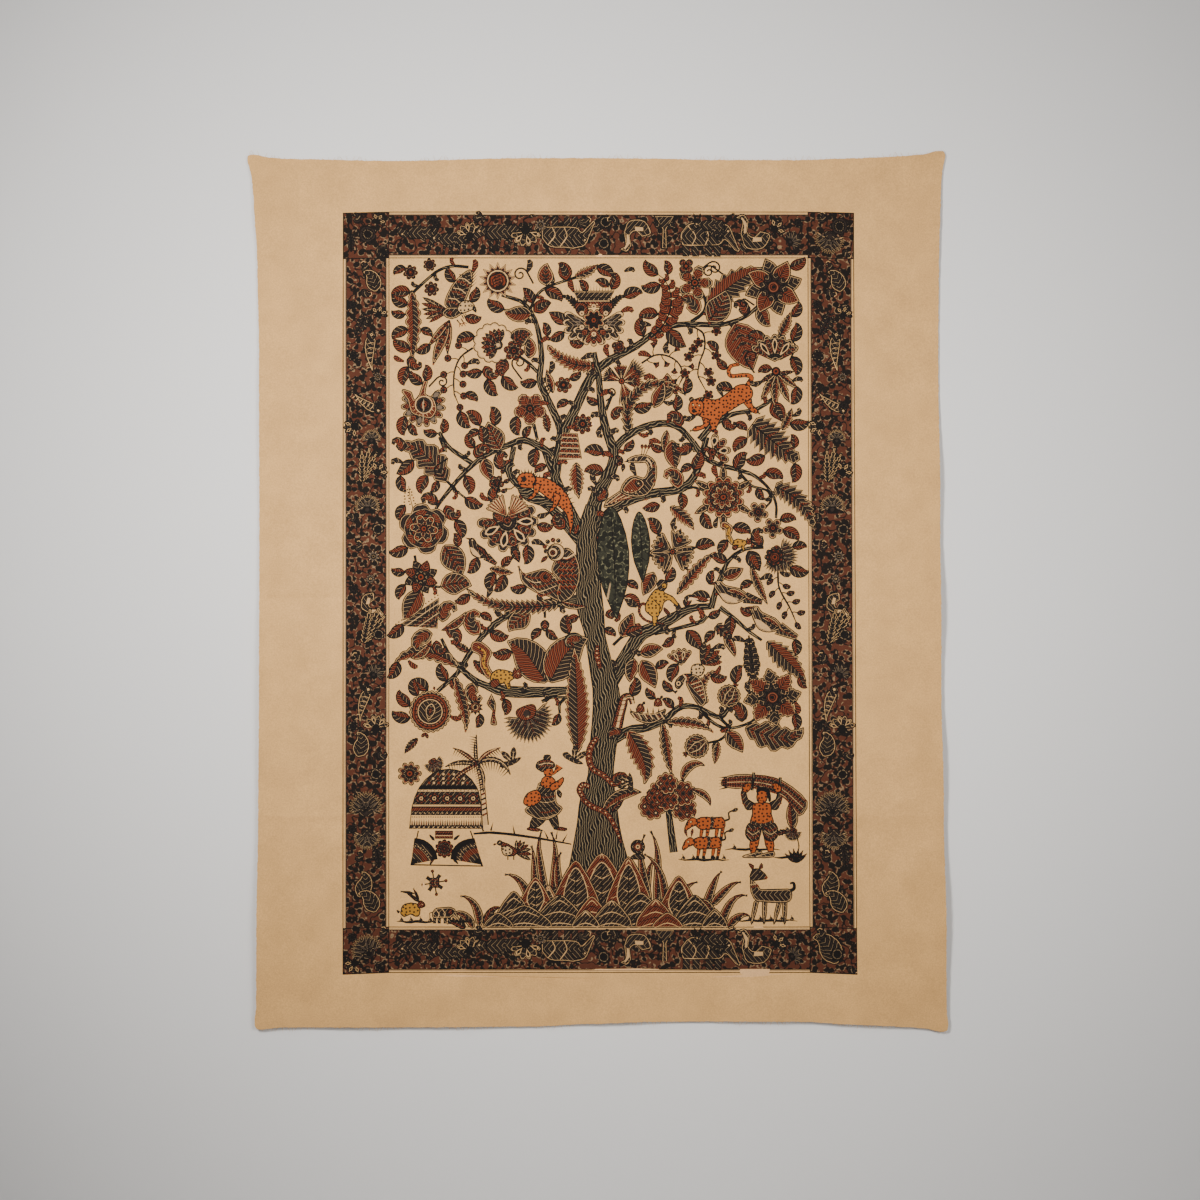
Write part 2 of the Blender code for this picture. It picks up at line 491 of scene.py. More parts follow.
# Down the side block from its top: motif, across from the middle, down, turn, size, flip.
SIDE_BLOCK = (
    ("curls", -0.6, 2.2, 60, 1.5, 1), ("curls", -0.6, 4.8, -60, 1.5, 1), ("paisley", 1.5, 5.4, 100, 4.4, 1),
    ("rosette", -2.2, 7.4, 0, 0.9, 1), ("palmette", 2.0, 9.0, 60, 1.6, 1), ("sprig", -1.8, 12.4, 60, 4.6, 1),
    ("fish", 0.8, 14.6, 76, 1.0, 1), ("rosette", -2.1, 15.6, 0, 1.0, 1), ("daisy", 1.9, 19.0, 0, 0.85, 1),
    ("fish", 0.3, 23.4, -20, 0.85, -1), ("rosette", 2.1, 23.6, 0, 0.9, 1),
    ("palmette", -1.9, 27.0, 200, 1.8, 1), ("thistle", 0.9, 29.0, 90, 1.7, 1),
    ("feathers", -0.6, 36.0, 78, 6.0, 1), ("palmette", 1.8, 34.4, 40, 1.8, 1),
    ("thistle", 0.2, 40.0, 90, 2.2, 1), ("curls", -2.0, 42.6, 100, 1.5, 1),
    ("rosette", 1.9, 43.6, 0, 1.1, 1), ("daisy", 1.2, 48.0, 0, 1.15, 1), ("curls", -1.8, 47.0, 40, 1.4, 1),
    ("daisy", 0.7, 51.6, 0, 0.9, 1), ("rosette", -2.0, 53.2, 0, 0.9, 1), ("swan", 0.6, 55.8, 80, 0.9, -1),
    ("feathers", -0.4, 62.0, 66, 6.6, 1), ("rosette", 2.0, 60.6, 0, 1.1, 1),
    ("curls", -1.4, 65.4, 80, 1.6, 1), ("thistle", 1.4, 66.8, 60, 1.7, 1), ("fish", -0.3, 71.6, 60, 0.95, 1),
    ("rosette", -2.1, 75.4, 0, 1.0, 1), ("palmette", 1.6, 75.8, 90, 2.3, 1),
    ("paisley", -1.4, 80.4, 70, 4.6, 1), ("curls", 1.8, 79.6, -40, 1.6, 1),
    ("rosette", 1.6, 83.2, 0, 1.1, 1), ("thistle", 0.0, 88.6, 90, 2.9, 1),
    ("thistle", 0.2, 93.2, -90, 2.4, 1), ("rosette", -2.2, 92.0, 0, 0.9, 1),
    ("sprig", 2.1, 98.4, 95, 4.2, 1), ("curls", -1.8, 97.0, 30, 1.5, 1),
    ("paisley", -1.3, 103.0, 60, 4.8, 1), ("paisley", 1.5, 105.6, 110, 4.8, 1),
)
# The four corner blocks, from the middle of each.
CORNERS = (
    (FRAME_LEFT, FRAME_TOP, (("rosette", 0.2, 0.2, 0, 1.7, 1), ("heart", 2.0, -1.8, -50, 2.4, 1),
                             ("curls", -1.9, 2.0, 60, 1.6, 1), ("palmette", 1.8, 2.2, 40, 1.5, 1),
                             ("sprig", -2.4, -2.6, 90, 3.6, 1))),
    (FRAME_RIGHT - BAND, FRAME_TOP, (("thistle", -0.2, -0.6, -100, 2.6, 1), ("rosette", 1.4, 1.5, 0, 1.7, 1),
                                     ("curls", -2.0, 2.1, 40, 1.5, 1), ("heart", -1.6, -2.2, 200, 1.6, 1),
                                     ("curls", 2.4, -2.0, -90, 1.4, 1))),
    (FRAME_LEFT, FRAME_FOOT - BAND, (("thistle", 0.2, 0.0, 120, 2.8, 1),
                                     ("palmette", -1.8, -2.0, -140, 1.8, 1),
                                     ("heart", 1.6, -2.2, -40, 2.0, 1), ("curls", 2.2, 2.2, 40, 1.4, 1),
                                     ("rosette", -2.2, 2.2, 0, 0.9, 1))),
    (FRAME_RIGHT - BAND, FRAME_FOOT - BAND, (("paisley", 0.4, -2.2, 110, 6.4, 1),
                                             ("rosette", 0.6, -0.6, 0, 1.2, 1),
                                             ("curls", -2.3, 1.6, 60, 1.6, 1),
                                             ("curls", 2.4, -2.3, -60, 1.4, 1),
                                             ("rosette", 2.3, 2.3, 0, 0.8, 1))),
)


def vase(pen):
    """A vase with two leaves."""
    pen.shape(RUST, [(-1.6, 2.6), (1.6, 2.6), (0.4, 0.4), (0.5, -2.6), (-0.5, -2.6), (-0.4, 0.4)])
    leaf(pen.part(-0.4, 0.4, 140, 2.0), 0.5)
    leaf(pen.part(0.4, 0.4, 40, 2.0), 0.5)


def swan(pen):
    """A swimming bird with a barred neck."""
    pen.body([(-1.6, 0.0), (-0.8, -1.6), (1.4, -1.6), (2.4, 0.2), (1.0, 0.8), (0.2, 0.0), (-0.6, 0.6),
              (-0.4, 2.0), (-1.2, 2.9), (-2.2, 2.4), (-1.4, 2.0), (-1.5, 1.0)], BROWN)
    pen.line(CREAM, curve([(-1.0, 0.4), (-0.9, 1.6), (-1.4, 2.4)], steps=3), 0.3, 0.5, 0.2)
    pen.fill(CREAM, [(0.0, -0.7), (1.2, -0.6), (1.2, -0.1), (0.1, -0.1)])


def fish(pen):
    """A long bird or fish that curves down the side block."""
    pen.body([(2.6, 0.6), (1.6, 1.3), (0.0, 1.2), (-2.0, 0.2), (-4.2, -1.6), (-2.2, -0.9), (0.0, -0.7),
              (1.6, -0.5)], BROWN)
    for k in range(6):
        pen.line(CREAM, curve([(1.2 - 0.8 * k, -0.5 - 0.06 * k), (1.0 - 0.8 * k, 0.3 - 0.1 * k),
                               (0.6 - 0.8 * k, 1.0 - 0.2 * k)], steps=2), 0.05, 0.12, 0.05)
    pen.shape(BROWN, disc(2.2, 0.5, 0.8, 12))
    eye(pen, 2.3, 0.5, 0.28)
    leaf(pen.part(-3.8, -1.4, 230, 2.0), 0.5)


def block_motif(name, pen):
    """One motif of the border, drawn with the field's tools."""
    if name == "rosette":
        bloom(pen, 7, 0.74, 0.1, 0.36)
    elif name == "daisy":
        bloom(pen, 9, 0.6, 0.1, 0.2, CREAM, ASH)
    elif name == "palmette":
        fan(pen, 6, 170, 0.8, 0, 0.3)
    elif name == "thistle":
        thistle_head(pen)
    elif name == "curls":
        pen.line(CREAM, Rib(40, 260).at(np.linspace(0, 1, 9)) * 2.0, 0.16, 0.1)
        curl(pen, width=0.7)
    elif name == "paisley":
        leaf(pen, 0.62, 10, 100, 0.7, style="heart")
    elif name == "heart":
        leaf(pen, 0.9, 0, 0, 0.6, style="heart")
    elif name == "sprig":
        fern(pen, 6, 0.34, 10, 20, BROWN, 50, 80)
    elif name == "feathers":
        for turn in (-14, 0, 13):
            feather(pen.part(0, 0, turn, 1 - 0.1 * abs(turn) / 14), 8, 0.14, 0, 0, bars=False)
    else:
        {"ox": ox, "elephant": elephant, "vase": vase, "swan": swan, "fish": fish}[name](pen)


def band(x, down, long, wide, upright):
    """One printed band: its guard lines and its red ground. Upright bands run down the cloth."""
    pen = Pen(x, down, -90 if upright else 0)
    side = 1 if upright else -1
    t = np.linspace(0, long, STATIONS)
    for inward, dye in GUARD_LINES:
        near, far = [np.full(STATIONS, side * off) for off in (inward, wide - inward)]
        pen.fill(dye, np.vstack([np.stack([t, near], 1), np.stack([t[::-1], far], 1)]))


def border():
    """The four bands and corner blocks, with the two blocks' motifs printed round them."""
    first = len(PRINT)
    long, high = FRAME_RIGHT - FRAME_LEFT - 2 * BAND, FRAME_FOOT - FRAME_TOP - 2 * BAND
    for down in (FRAME_TOP, FRAME_FOOT - BAND):
        band(FRAME_LEFT + BAND, down, long, BAND, False)
    for x in (FRAME_LEFT, FRAME_RIGHT - BAND):
        band(x, FRAME_TOP + BAND, high, BAND, True)
    for x, down, motifs in CORNERS:
        pen = Pen(x + BAND / 2, down + BAND / 2)
        half = BAND / 2
        pen.fill(BLACK, [(-half, -half), (half, -half), (half, half), (-half, half)])
        half -= 0.16
        pen.fill(EARTH, [(-half, -half), (half, -half), (half, half), (-half, half)])
    motifs_from = len(PRINT)
    for down in (FRAME_TOP, FRAME_FOOT - BAND):
        for name, along, up, turn, size, flip in TOP_BLOCK:
            block_motif(name, Pen(FRAME_LEFT + BAND + along, down + BAND / 2 - up, turn, size, flip))
    for x in (FRAME_LEFT, FRAME_RIGHT - BAND):
        for name, across, along, turn, size, flip in SIDE_BLOCK:
            block_motif(name, Pen(x + BAND / 2 + across, FRAME_TOP + BAND + along, turn, size, flip))
    for x, down, motifs in CORNERS:
        for name, across, up, turn, size, flip in motifs:
            block_motif(name, Pen(x + BAND / 2 + across, down + BAND / 2 - up, turn, size, flip))
    # The border's motifs are iron on iron, without their small touches of red.
    motifs = PRINT[motifs_from:]
    del PRINT[motifs_from:]
    for dye, outline, spine in motifs:
        size = np.ptp(outline, axis=0).max()
        if size > (LEAST_RED if dye == RUST else LEAST_MOTIF):
            PRINT.append((SHADE if dye in (BROWN, RUST, ORANGE, YELLOW, OLIVE, SPECK) else dye, outline,
                          spine))
    # The printer's rule was not quite straight.
    for k in range(first, len(PRINT)):
        dye, outline, spine = PRINT[k]
        PRINT[k] = (dye, bowed(eased(outline, BORDER_SLACK)), bowed(spine))


def bowed(points):
    """Points of the border moved with the lines that bow."""
    x, y = points.T
    down = np.clip((-y - FRAME_TOP) / (FRAME_FOOT - FRAME_TOP), 0, 1)
    bow = 1 - (x / FRAME_RIGHT) ** 2
    out = x + SPREAD * down**2 * (x > 0) * (x / HALF_FRAME) ** 2
    return np.stack([out, y + bow * (BOW[0] * (1 - down) ** 3 + BOW[1] * down**3)], 1)


# ---- The tree ---------------------------------------------------------------------------------------

# Each limb's route from where it leaves the wood, as x and drop.
LIMBS = (
    # widths, route
    ((0.9, 0.5), [(17.4, 73.6), (16.3, 74.7), (12.1, 75.8), (9.0, 76.6)]),
    ((2.6, 2.2, 1.6, 1.0), [(0.2, 87.3), (2.9, 82.8), (6.5, 77.0), (9.7, 75.3), (12.4, 73.7), (15.2, 72.4),
                            (18.2, 72.1)]),
    ((1.1, 0.7, 0.5), [(18.1, 72.4), (19.2, 68.6), (21.0, 64.7), (23.6, 62.9), (26.6, 62.6)]),
    ((0.9, 0.6, 0.45), [(19.5, 72.3), (21.8, 74.0), (24.1, 76.1), (26.3, 77.6)]),
    ((1.7, 1.3, 0.9, 0.7), [(2.1, 93.8), (5.0, 92.1), (7.6, 91.7), (10.5, 90.5), (13.1, 88.4), (15.8, 88.4),
                            (19.5, 90.0), (21.0, 88.4)]),
    ((0.6, 0.4), [(16.2, 88.7), (18.6, 91.0), (21.0, 91.8), (24.1, 91.0), (26.3, 89.4)]),
    ((0.6, 0.35), [(19.4, 90.0), (21.0, 91.8), (19.7, 93.6), (17.3, 94.2)]),
    ((2.6, 2.0, 1.3, 0.9), [(-0.5, 69.5), (-1.8, 71.1), (-5.5, 71.3), (-9.5, 71.9), (-13.6, 73.1),
                            (-17.3, 75.2)]),
    ((1.1, 0.9, 0.7), [(-16.0, 74.4), (-18.7, 76.8), (-21.0, 79.9), (-22.8, 82.9), (-26.0, 85.8)]),
    ((0.5, 0.9, 1.2), [(-25.4, 77.3), (-24.1, 80.0), (-22.3, 82.1), (-19.9, 84.1), (-16.8, 85.5)]),
    ((1.5, 1.9, 1.8, 1.3), [(-17.9, 84.9), (-15.2, 85.8), (-10.3, 86.0), (-5.2, 85.7)]),
    ((1.9, 1.6, 1.3, 1.0), [(-1.1, 63.4), (0.5, 58.5), (3.7, 55.6), (8.2, 54.0), (13.1, 53.2), (15.3, 51.3),
                            (16.6, 48.0), (17.4, 44.8)]),
    ((1.0, 0.8, 0.5, 0.4), [(15.2, 45.6), (17.0, 48.0), (19.2, 49.2), (22.6, 50.1), (25.2, 51.1),
                            (27.5, 53.2), (28.6, 55.6), (28.6, 57.9)]),
    ((0.5, 0.35), [(22.9, 50.8), (24.7, 52.7), (27.1, 53.4), (27.8, 55.0), (26.8, 56.3)]),
    ((0.5, 0.35), [(13.7, 53.2), (15.3, 52.9), (17.0, 53.5)]),
    ((1.3, 1.2, 0.9), [(1.9, 49.5), (2.9, 46.4), (4.8, 44.5), (7.9, 43.0), (11.0, 42.6), (13.2, 43.5),
                       (15.2, 45.6)]),
    ((1.2, 0.8, 0.6), [(16.3, 45.3), (18.4, 42.9), (21.6, 41.1), (25.5, 40.3), (28.7, 38.2)]),
    ((2.4, 1.9, 1.6, 1.2), [(-1.8, 62.3), (-4.0, 58.2), (-5.8, 54.5), (-7.1, 51.0), (-8.7, 46.9)]),
    ((1.3, 1.1, 0.8, 0.5), [(-7.4, 47.9), (-9.5, 46.3), (-12.3, 45.3), (-15.3, 46.4), (-18.7, 48.0),
                            (-22.1, 51.0), (-25.4, 55.0), (-26.3, 56.4)]),
    ((0.6, 0.8), [(-25.8, 44.0), (-24.2, 46.4), (-22.4, 47.7), (-20.5, 49.0)]),
    ((0.6, 0.5), [(-10.5, 42.7), (-9.9, 45.3)]),
    ((0.9, 0.7), [(-13.7, 46.3), (-14.2, 48.9), (-14.5, 51.3)]),
    ((1.7, 1.4, 1.1, 0.8, 0.5), [(-7.1, 51.4), (-6.5, 47.2), (-6.1, 43.7), (-7.6, 40.1), (-9.5, 35.8),
                                 (-9.2, 32.1), (-10.0, 26.7), (-12.1, 23.2), (-15.7, 21.9)]),
    ((0.5, 0.6), [(-13.1, 31.6), (-11.5, 32.7), (-9.9, 34.3)]),
    ((1.7, 1.5, 1.1, 0.8, 0.5), [(-6.3, 45.3), (-4.0, 40.8), (-2.1, 36.6), (-0.3, 34.0), (2.1, 32.2),
                                 (6.1, 30.1), (9.4, 27.7), (13.4, 26.6), (19.1, 26.7), (22.0, 26.1),
                                 (24.5, 24.8), (27.0, 22.4)]),
    ((0.6, 0.5), [(14.9, 26.2), (16.8, 24.8), (17.3, 23.0), (16.3, 20.8)]),
    ((0.5, 0.5), [(-11.1, 24.3), (-10.0, 21.9), (-7.9, 20.4), (-3.6, 19.0)]),
    ((0.5, 0.5), [(-21.0, 17.4), (-23.7, 17.2), (-26.0, 18.0), (-27.9, 19.5), (-29.9, 21.4)]),
    ((1.8, 1.4, 0.9), [(-2.4, 62.3), (-5.0, 59.2), (-7.9, 56.1), (-11.1, 53.9), (-13.7, 51.8), (-14.7, 49.8),
                       (-13.7, 49.0)]),
    ((0.6, 0.4), [(1.1, 40.5), (2.3, 37.7)]),
    ((2.7, 2.0, 1.6, 1.2, 0.9), [(-1.5, 59.8), (-0.5, 55.0), (1.1, 51.8), (2.3, 49.2), (2.3, 46.8),
                                 (1.1, 43.4), (0.3, 39.2), (0.0, 35.0), (-0.8, 31.1)]),
    ((0.6, 0.5), [(-25.5, 44.2), (-24.7, 47.2), (-25.7, 44.8)]),
    ((0.45, 0.35), [(-24.5, 51.9), (-23.1, 53.4), (-21.3, 54.8)]),
    ((0.45, 0.35), [(-29.7, 63.9), (-29.4, 65.6)]),
    ((0.5, 0.5), [(2.3, 78.4), (3.4, 77.3), (4.5, 76.6)]),
    ((0.4, 0.4), [(-8.7, 71.8), (-8.7, 74.0)]),
    ((0.6, 0.4), [(-9.2, 87.5), (-7.6, 86.8), (-5.3, 86.8)]),
    ((0.6, 0.4), [(-5.3, 86.8), (-6.3, 87.9), (-6.3, 89.4)]),
    ((0.5, 0.4), [(-28.9, 69.5), (-27.3, 68.9), (-25.5, 69.0)]),
)

# The trunk's two edges, from the foot up.
TRUNK_LEFT = [(-5.5, 117.3), (-3.7, 108.3), (-3.1, 103.4), (-1.8, 99.4), (-1.5, 94.6), (-1.1, 90.5),
              (-1.0, 85.7), (-1.8, 80.8), (-2.3, 76.8), (-3.7, 71.9), (-3.6, 67.1), (-3.7, 62.3),
              (-3.1, 58.5), (-2.1, 55.6)]
TRUNK_RIGHT = [(6.0, 117.3), (3.7, 109.1), (2.9, 103.4), (2.4, 99.4), (2.9, 94.6), (3.7, 89.7), (3.2, 84.9),
               (2.1, 80.8), (1.1, 76.8), (0.8, 71.9), (0.2, 67.1), (-0.2, 62.7), (-0.3, 59.0), (-0.3, 56.0)]


def tree():
    """The trunk and its limbs, with hooked buds along them."""
    for widths, route in LIMBS:
        path = branch(route, widths)
        # Hooked buds stand along each limb, on one side and then the other.
        length = np.append(0, np.cumsum(np.hypot(*np.diff(path, axis=0).T)))
        for k, reach in enumerate(np.arange(2.2, length[-1] - 1.0, 3.4)):
            x, y = [np.interp(reach, length, path[:, c]) for c in (0, 1)]
            x2, y2 = [np.interp(reach + 0.5, length, path[:, c]) for c in (0, 1)]
            side = 1 if k % 2 else -1
            heading = math.degrees(math.atan2(y2 - y, x2 - x)) + side * 50
            comma(Pen(x, -y, heading, 1.5 + widths[0] * 0.3, side), RUST if k % 3 == 0 else BROWN)
    trunk(TRUNK_LEFT, TRUNK_RIGHT)


# ---- Leaves -----------------------------------------------------------------------------------------

LEAF_KINDS = {
    "plain": dict(width=0.6),
    "slim": dict(width=0.38),
    "broad": dict(width=0.72, style="stripe"),
    "heart": dict(width=0.68, style="heart"),
    "half": dict(width=0.6, style="half"),
    "saw": dict(width=0.44, teeth=8, depth=0.28),
    "sawslim": dict(width=0.24, teeth=14, depth=0.22),
    "crenate": dict(width=0.24, teeth=8, depth=0.32, crenate=True),
    "lobed": dict(width=0.48, teeth=5, depth=0.3, crenate=True, style="stripe"),
}

LEAVES = (
    # kind, x, drop, turn, length, bend, hook, main dye
    ("crenate", -30.2, 21.1, -88, 10.6, -12, 0, RUST), ("broad", -8.4, 20.4, 97, 3.4, 0, -40, RUST),
    ("heart", -5.2, 19.6, 98, 3.1, 0, 80, RUST), ("saw", -3.9, 19.0, 22, 4.0, 0, 30, BROWN),
    ("plain", -8.7, 21.1, -18, 3.2, -20, -60, BROWN), ("half", -10.5, 23.2, 118, 2.8, 0, 30, BROWN),
    ("heart", -10.5, 24.6, 38, 3.0, 0, -50, RUST), ("half", -10.8, 24.8, 186, 4.2, 10, -70, BROWN),
    ("broad", -14.2, 30.0, 42, 3.8, -20, -60, BROWN), ("broad", -15.0, 32.1, -112, 2.9, 20, 50, RUST),
    ("plain", -11.3, 32.1, 82, 3.2, 10, 30, RUST), ("plain", -5.0, 26.4, 150, 3.2, 0, 0, BROWN),
    ("slim", -7.4, 37.7, 105, 3.6, 0, 0, RUST), ("saw", -8.1, 44.0, 95, 3.2, -40, 90, RUST),
    ("lobed", -24.5, 52.1, 128, 9.6, 25, 50, BROWN), ("plain", -29.9, 48.5, -132, 3.3, 0, -40, BROWN),
    ("half", -18.6, 48.2, -72, 3.6, 0, 0, RUST), ("broad", -15.8, 46.9, 118, 4.6, -20, 0, BROWN),
    ("plain", -18.6, 45.8, 90, 2.8, 0, 60, BROWN), ("heart", -5.3, 59.5, 140, 3.0, -20, -120, RUST),
    ("saw", -17.6, 66.0, -15, 3.6, 0, 20, RUST), ("broad", -25.0, 62.3, -54, 5.2, 0, -20, BROWN),
    ("broad", -25.5, 69.0, 12, 4.7, -30, -20, BROWN), ("plain", -28.7, 69.4, -120, 5.2, 0, 0, BROWN),
    ("saw", -3.6, 48.9, -88, 5.4, 10, 0, RUST), ("half", -8.4, 84.4, 122, 8.6, -10, 60, BROWN),
    ("half", -7.9, 84.4, 62, 8.9, -10, -50, BROWN), ("broad", -11.0, 73.4, -152, 4.2, 10, 40, BROWN),
    ("crenate", -22.6, 82.0, 158, 10.8, 70, 30, BROWN), ("crenate", -23.3, 83.3, -72, 8.6, 0, -30, RUST),
    ("saw", -20.8, 79.5, 150, 3.0, 0, 0, BROWN), ("saw", -20.2, 80.8, -50, 3.2, 0, 0, RUST),
    ("saw", -29.2, 93.4, -135, 3.0, 0, 20, BROWN), ("sawslim", -3.4, 95.7, 91, 15.6, 5, 0, RUST),
    ("saw", 17.4, 23.7, 40, 10.2, -10, -20, BROWN), ("broad", 17.6, 26.1, 52, 5.4, 20, 20, BROWN),
    ("broad", 22.0, 26.4, -72, 7.4, -22, 30, RUST), ("plain", 25.7, 23.7, -70, 3.6, -40, 90, BROWN),
    ("saw", 29.1, 28.8, 62, 4.2, 0, 20, RUST), ("half", 11.0, 27.5, -48, 3.8, 0, 30, BROWN),
    ("half", 10.5, 38.8, 78, 4.0, 0, 20, BROWN), ("heart", 27.9, 39.2, -55, 3.4, 0, -20, RUST),
    ("saw", 29.6, 43.7, 62, 3.6, 0, 20, RUST), ("slim", 11.0, 43.7, -100, 3.4, 0, 0, BROWN),
    ("plain", 11.8, 45.3, -85, 4.4, 10, 0, RUST), ("half", 15.2, 50.1, 60, 3.2, 30, 30, RUST),
    ("half", 22.1, 50.1, 70, 3.2, 0, -70, BROWN), ("plain", 9.9, 55.8, -165, 2.7, 0, -30, RUST),
    ("saw", 11.5, 56.0, -38, 5.0, -10, -20, RUST), ("half", 8.9, 66.6, -115, 3.8, 0, 0, RUST),
    ("crenate", 12.6, 70.2, 52, 8.6, 0, -20, RUST), ("plain", 20.7, 65.0, 150, 2.7, 0, 60, BROWN),
    ("plain", 19.9, 67.4, 18, 3.4, 0, 20, RUST), ("heart", 24.1, 63.2, -58, 3.4, 0, -10, BROWN),
    ("sawslim", 24.5, 65.6, -68, 6.2, 10, 0, BROWN), ("half", 3.6, 77.1, 62, 4.0, 10, 0, RUST),
    ("half", 4.4, 76.6, 18, 2.8, 0, 20, BROWN), ("plain", 6.6, 79.9, 22, 3.6, 0, -40, BROWN),
    ("plain", 5.7, 80.5, -105, 3.6, 0, 20, BROWN), ("plain", 6.9, 80.8, -62, 4.6, 0, -10, RUST),
    ("half", 14.2, 76.0, -50, 3.6, 0, -20, BROWN), ("half", 21.3, 73.7, -95, 3.0, 0, 30, BROWN),
    ("slim", 20.2, 76.6, -58, 3.8, 0, -30, BROWN), ("saw", 27.1, 77.8, -43, 8.2, 0, -10, BROWN),
    ("saw", 4.7, 92.1, -60, 8.6, -10, -50, RUST), ("crenate", 10.2, 90.8, -82, 8.0, -10, 20, BROWN),
    ("crenate", 10.8, 90.8, -2, 7.4, -20, -30, RUST), ("lobed", 23.6, 91.7, -20, 9.4, 0, 90, BROWN),
    ("half", 20.5, 92.3, -48, 4.0, -20, 0, BROWN), ("saw", 19.2, 93.9, -98, 3.4, 0, 0, BROWN),
)

CURLS = (
    # x, drop, turn, size, flip, main dye
    (-30.5, 31.7, -70, 2.3, 1, BROWN), (-18.4, 33.3, -60, 2.4, 1, RUST),
    (-31.8, 47.2, 100, 2.2, 1, BROWN), (-19.9, 48.2, 60, 2.5, -1, RUST),
    (-15.5, 50.1, 110, 2.6, -1, BROWN), (-26.2, 55.8, 130, 2.4, 1, BROWN),
    (-24.7, 55.8, -60, 2.6, 1, RUST), (-16.6, 55.5, 110, 2.4, -1, BROWN),
    (-19.1, 76.6, 130, 3.6, -1, RUST), (-25.2, 74.7, 80, 3.2, -1, BROWN),
    (-26.8, 76.5, -160, 3.4, 1, BROWN), (-26.2, 77.6, -80, 2.2, 1, RUST),
    (-24.7, 75.7, -30, 2.8, -1, RUST), (-20.2, 84.4, -100, 3.0, 1, BROWN),
    (-2.6, 77.6, 170, 2.6, 1, OLIVE), (15.8, 25.1, 110, 3.4, 1, RUST),
    (23.6, 25.3, 100, 2.5, 1, BROWN), (26.6, 30.0, 120, 2.6, 1, BROWN),
    (2.4, 42.1, 70, 2.2, -1, RUST), (13.2, 43.2, 110, 2.6, 1, RUST),
    (20.2, 41.7, -60, 2.2, 1, BROWN), (12.8, 53.2, 100, 3.2, 1, RUST),
    (15.0, 45.8, -140, 2.6, -1, BROWN), (1.0, 73.6, 10, 2.2, -1, RUST),
    (23.1, 90.8, 100, 3.0, 1, BROWN), (26.5, 62.3, 130, 2.6, -1, BROWN),
    (2.3, 101.3, 60, 2.6, -1, RUST), (3.9, 92.6, 170, 2.2, 1, BROWN),
    (-0.5, 55.0, 30, 2.2, 1, BROWN),
)

TENDRILS = (
    # x, drop, turn, size, flip
    (-11.3, 20.1, 95, 3.0, 1), (-26.8, 36.9, 70, 2.6, -1), (-24.2, 48.9, 190, 2.8, 1),
    (19.4, 18.8, 120, 2.6, 1), (16.8, 18.3, 60, 2.9, -1), (24.7, 23.8, 120, 2.0, 1),
    (25.5, 33.8, 150, 3.0, -1), (30.4, 31.9, 40, 2.6, 1), (1.1, 38.5, 10, 1.9, 1),
    (-12.0, 34.8, 150, 3.2, -1), (-8.7, 38.0, 30, 1.6, 1),
)


def comma(pen, dye=BROWN, bend=150):
    """A small hooked bud or leaf."""
    rib = Rib(20, bend)
    s = np.array([0.0, 0.25, 0.5, 0.72, 0.88, 1.0])
    pen.shape(dye, rib.blade(s, np.array([0.08, 0.15, 0.22, 0.23, 0.17, 0.02])), FINE, spine=rib.p[::8])


SEARCH_STEP = 0.4  # cm between the places that are tried
MOST_GAP_LEAVES = 900
LONGEST_GAP_LEAF = 3.4  # cm
FULL_LEAF = 2.3  # cm, the length from which a gap leaf is drawn in full


def gap_leaves(left, right, top, foot, least):
    """Small leaves that grow from what is drawn into each patch of bare ground that is left."""
    x, y = np.meshgrid(np.arange(left, right, SEARCH_STEP), -np.arange(top, foot, SEARCH_STEP))
    spots = np.stack([x.ravel(), y.ravel()], 1)
    taken = np.zeros(len(spots), bool)
    for _, outline, _ in PRINT:
        near = np.flatnonzero(((spots >= outline.min(0)) & (spots <= outline.max(0))).all(1) & ~taken)
        taken[near[inside(outline, *spots[near].T)]] = True
    free = spots[~taken]
    drawn = KDTree(int(taken.sum()))
    for number, spot in enumerate(spots[taken]):
        drawn.insert((*spot, 0), number)
    drawn.balance()
    found = [drawn.find((*spot, 0)) for spot in free]
    clear = np.array([away for _, _, away in found])
    room = clear.copy()
    for k in range(MOST_GAP_LEAVES):
        spot = int(np.argmax(room))
        if room[spot] < least:
            break
        base = np.array(found[spot][0][:2])
        if room[spot] < 0.8 * clear[spot]:
            base = free[spot] + (base - free[spot]) * room[spot] / clear[spot]
        to = free[spot] - base
        heading = math.degrees(math.atan2(to[1], to[0]))
        size = min(2.0 * room[spot], LONGEST_GAP_LEAF)
        side = 1 if k % 2 else -1
        dye = RUST if k % 3 == 0 else BROWN
        pen = Pen(base[0], -base[1], heading + 18 * side, size, side)
        if size > FULL_LEAF:
            leaf(pen, 0.6, 20, 60, dye=dye, accent=other(dye))
        else:
            comma(pen, dye, 60 + 40 * (k % 4))
        for share in (0.25, 0.6, 0.95):
            at = base + share * size * to / max(np.hypot(*to), 1e-9)
            room = np.minimum(room, np.hypot(*(free - at).T) - 0.22 * size)


def leaves():
    """The leaves, curls and tendrils that have a place of their own."""
    for kind, x, down, turn, length, bend, hook, dye in LEAVES:
        leaf(Pen(x, down, turn, length * 1.1), turn=bend, hook=hook, dye=dye, accent=other(dye),
             **LEAF_KINDS[kind])
    for x, down, turn, size, flip, dye in CURLS:
        curl(Pen(x, down, turn, size * 1.12, flip), dye, other(dye))
    for x, down, turn, size, flip in TENDRILS:
        tendril(Pen(x, down, turn, size, flip))


# ---- Flowers and fruit ------------------------------------------------------------------------------


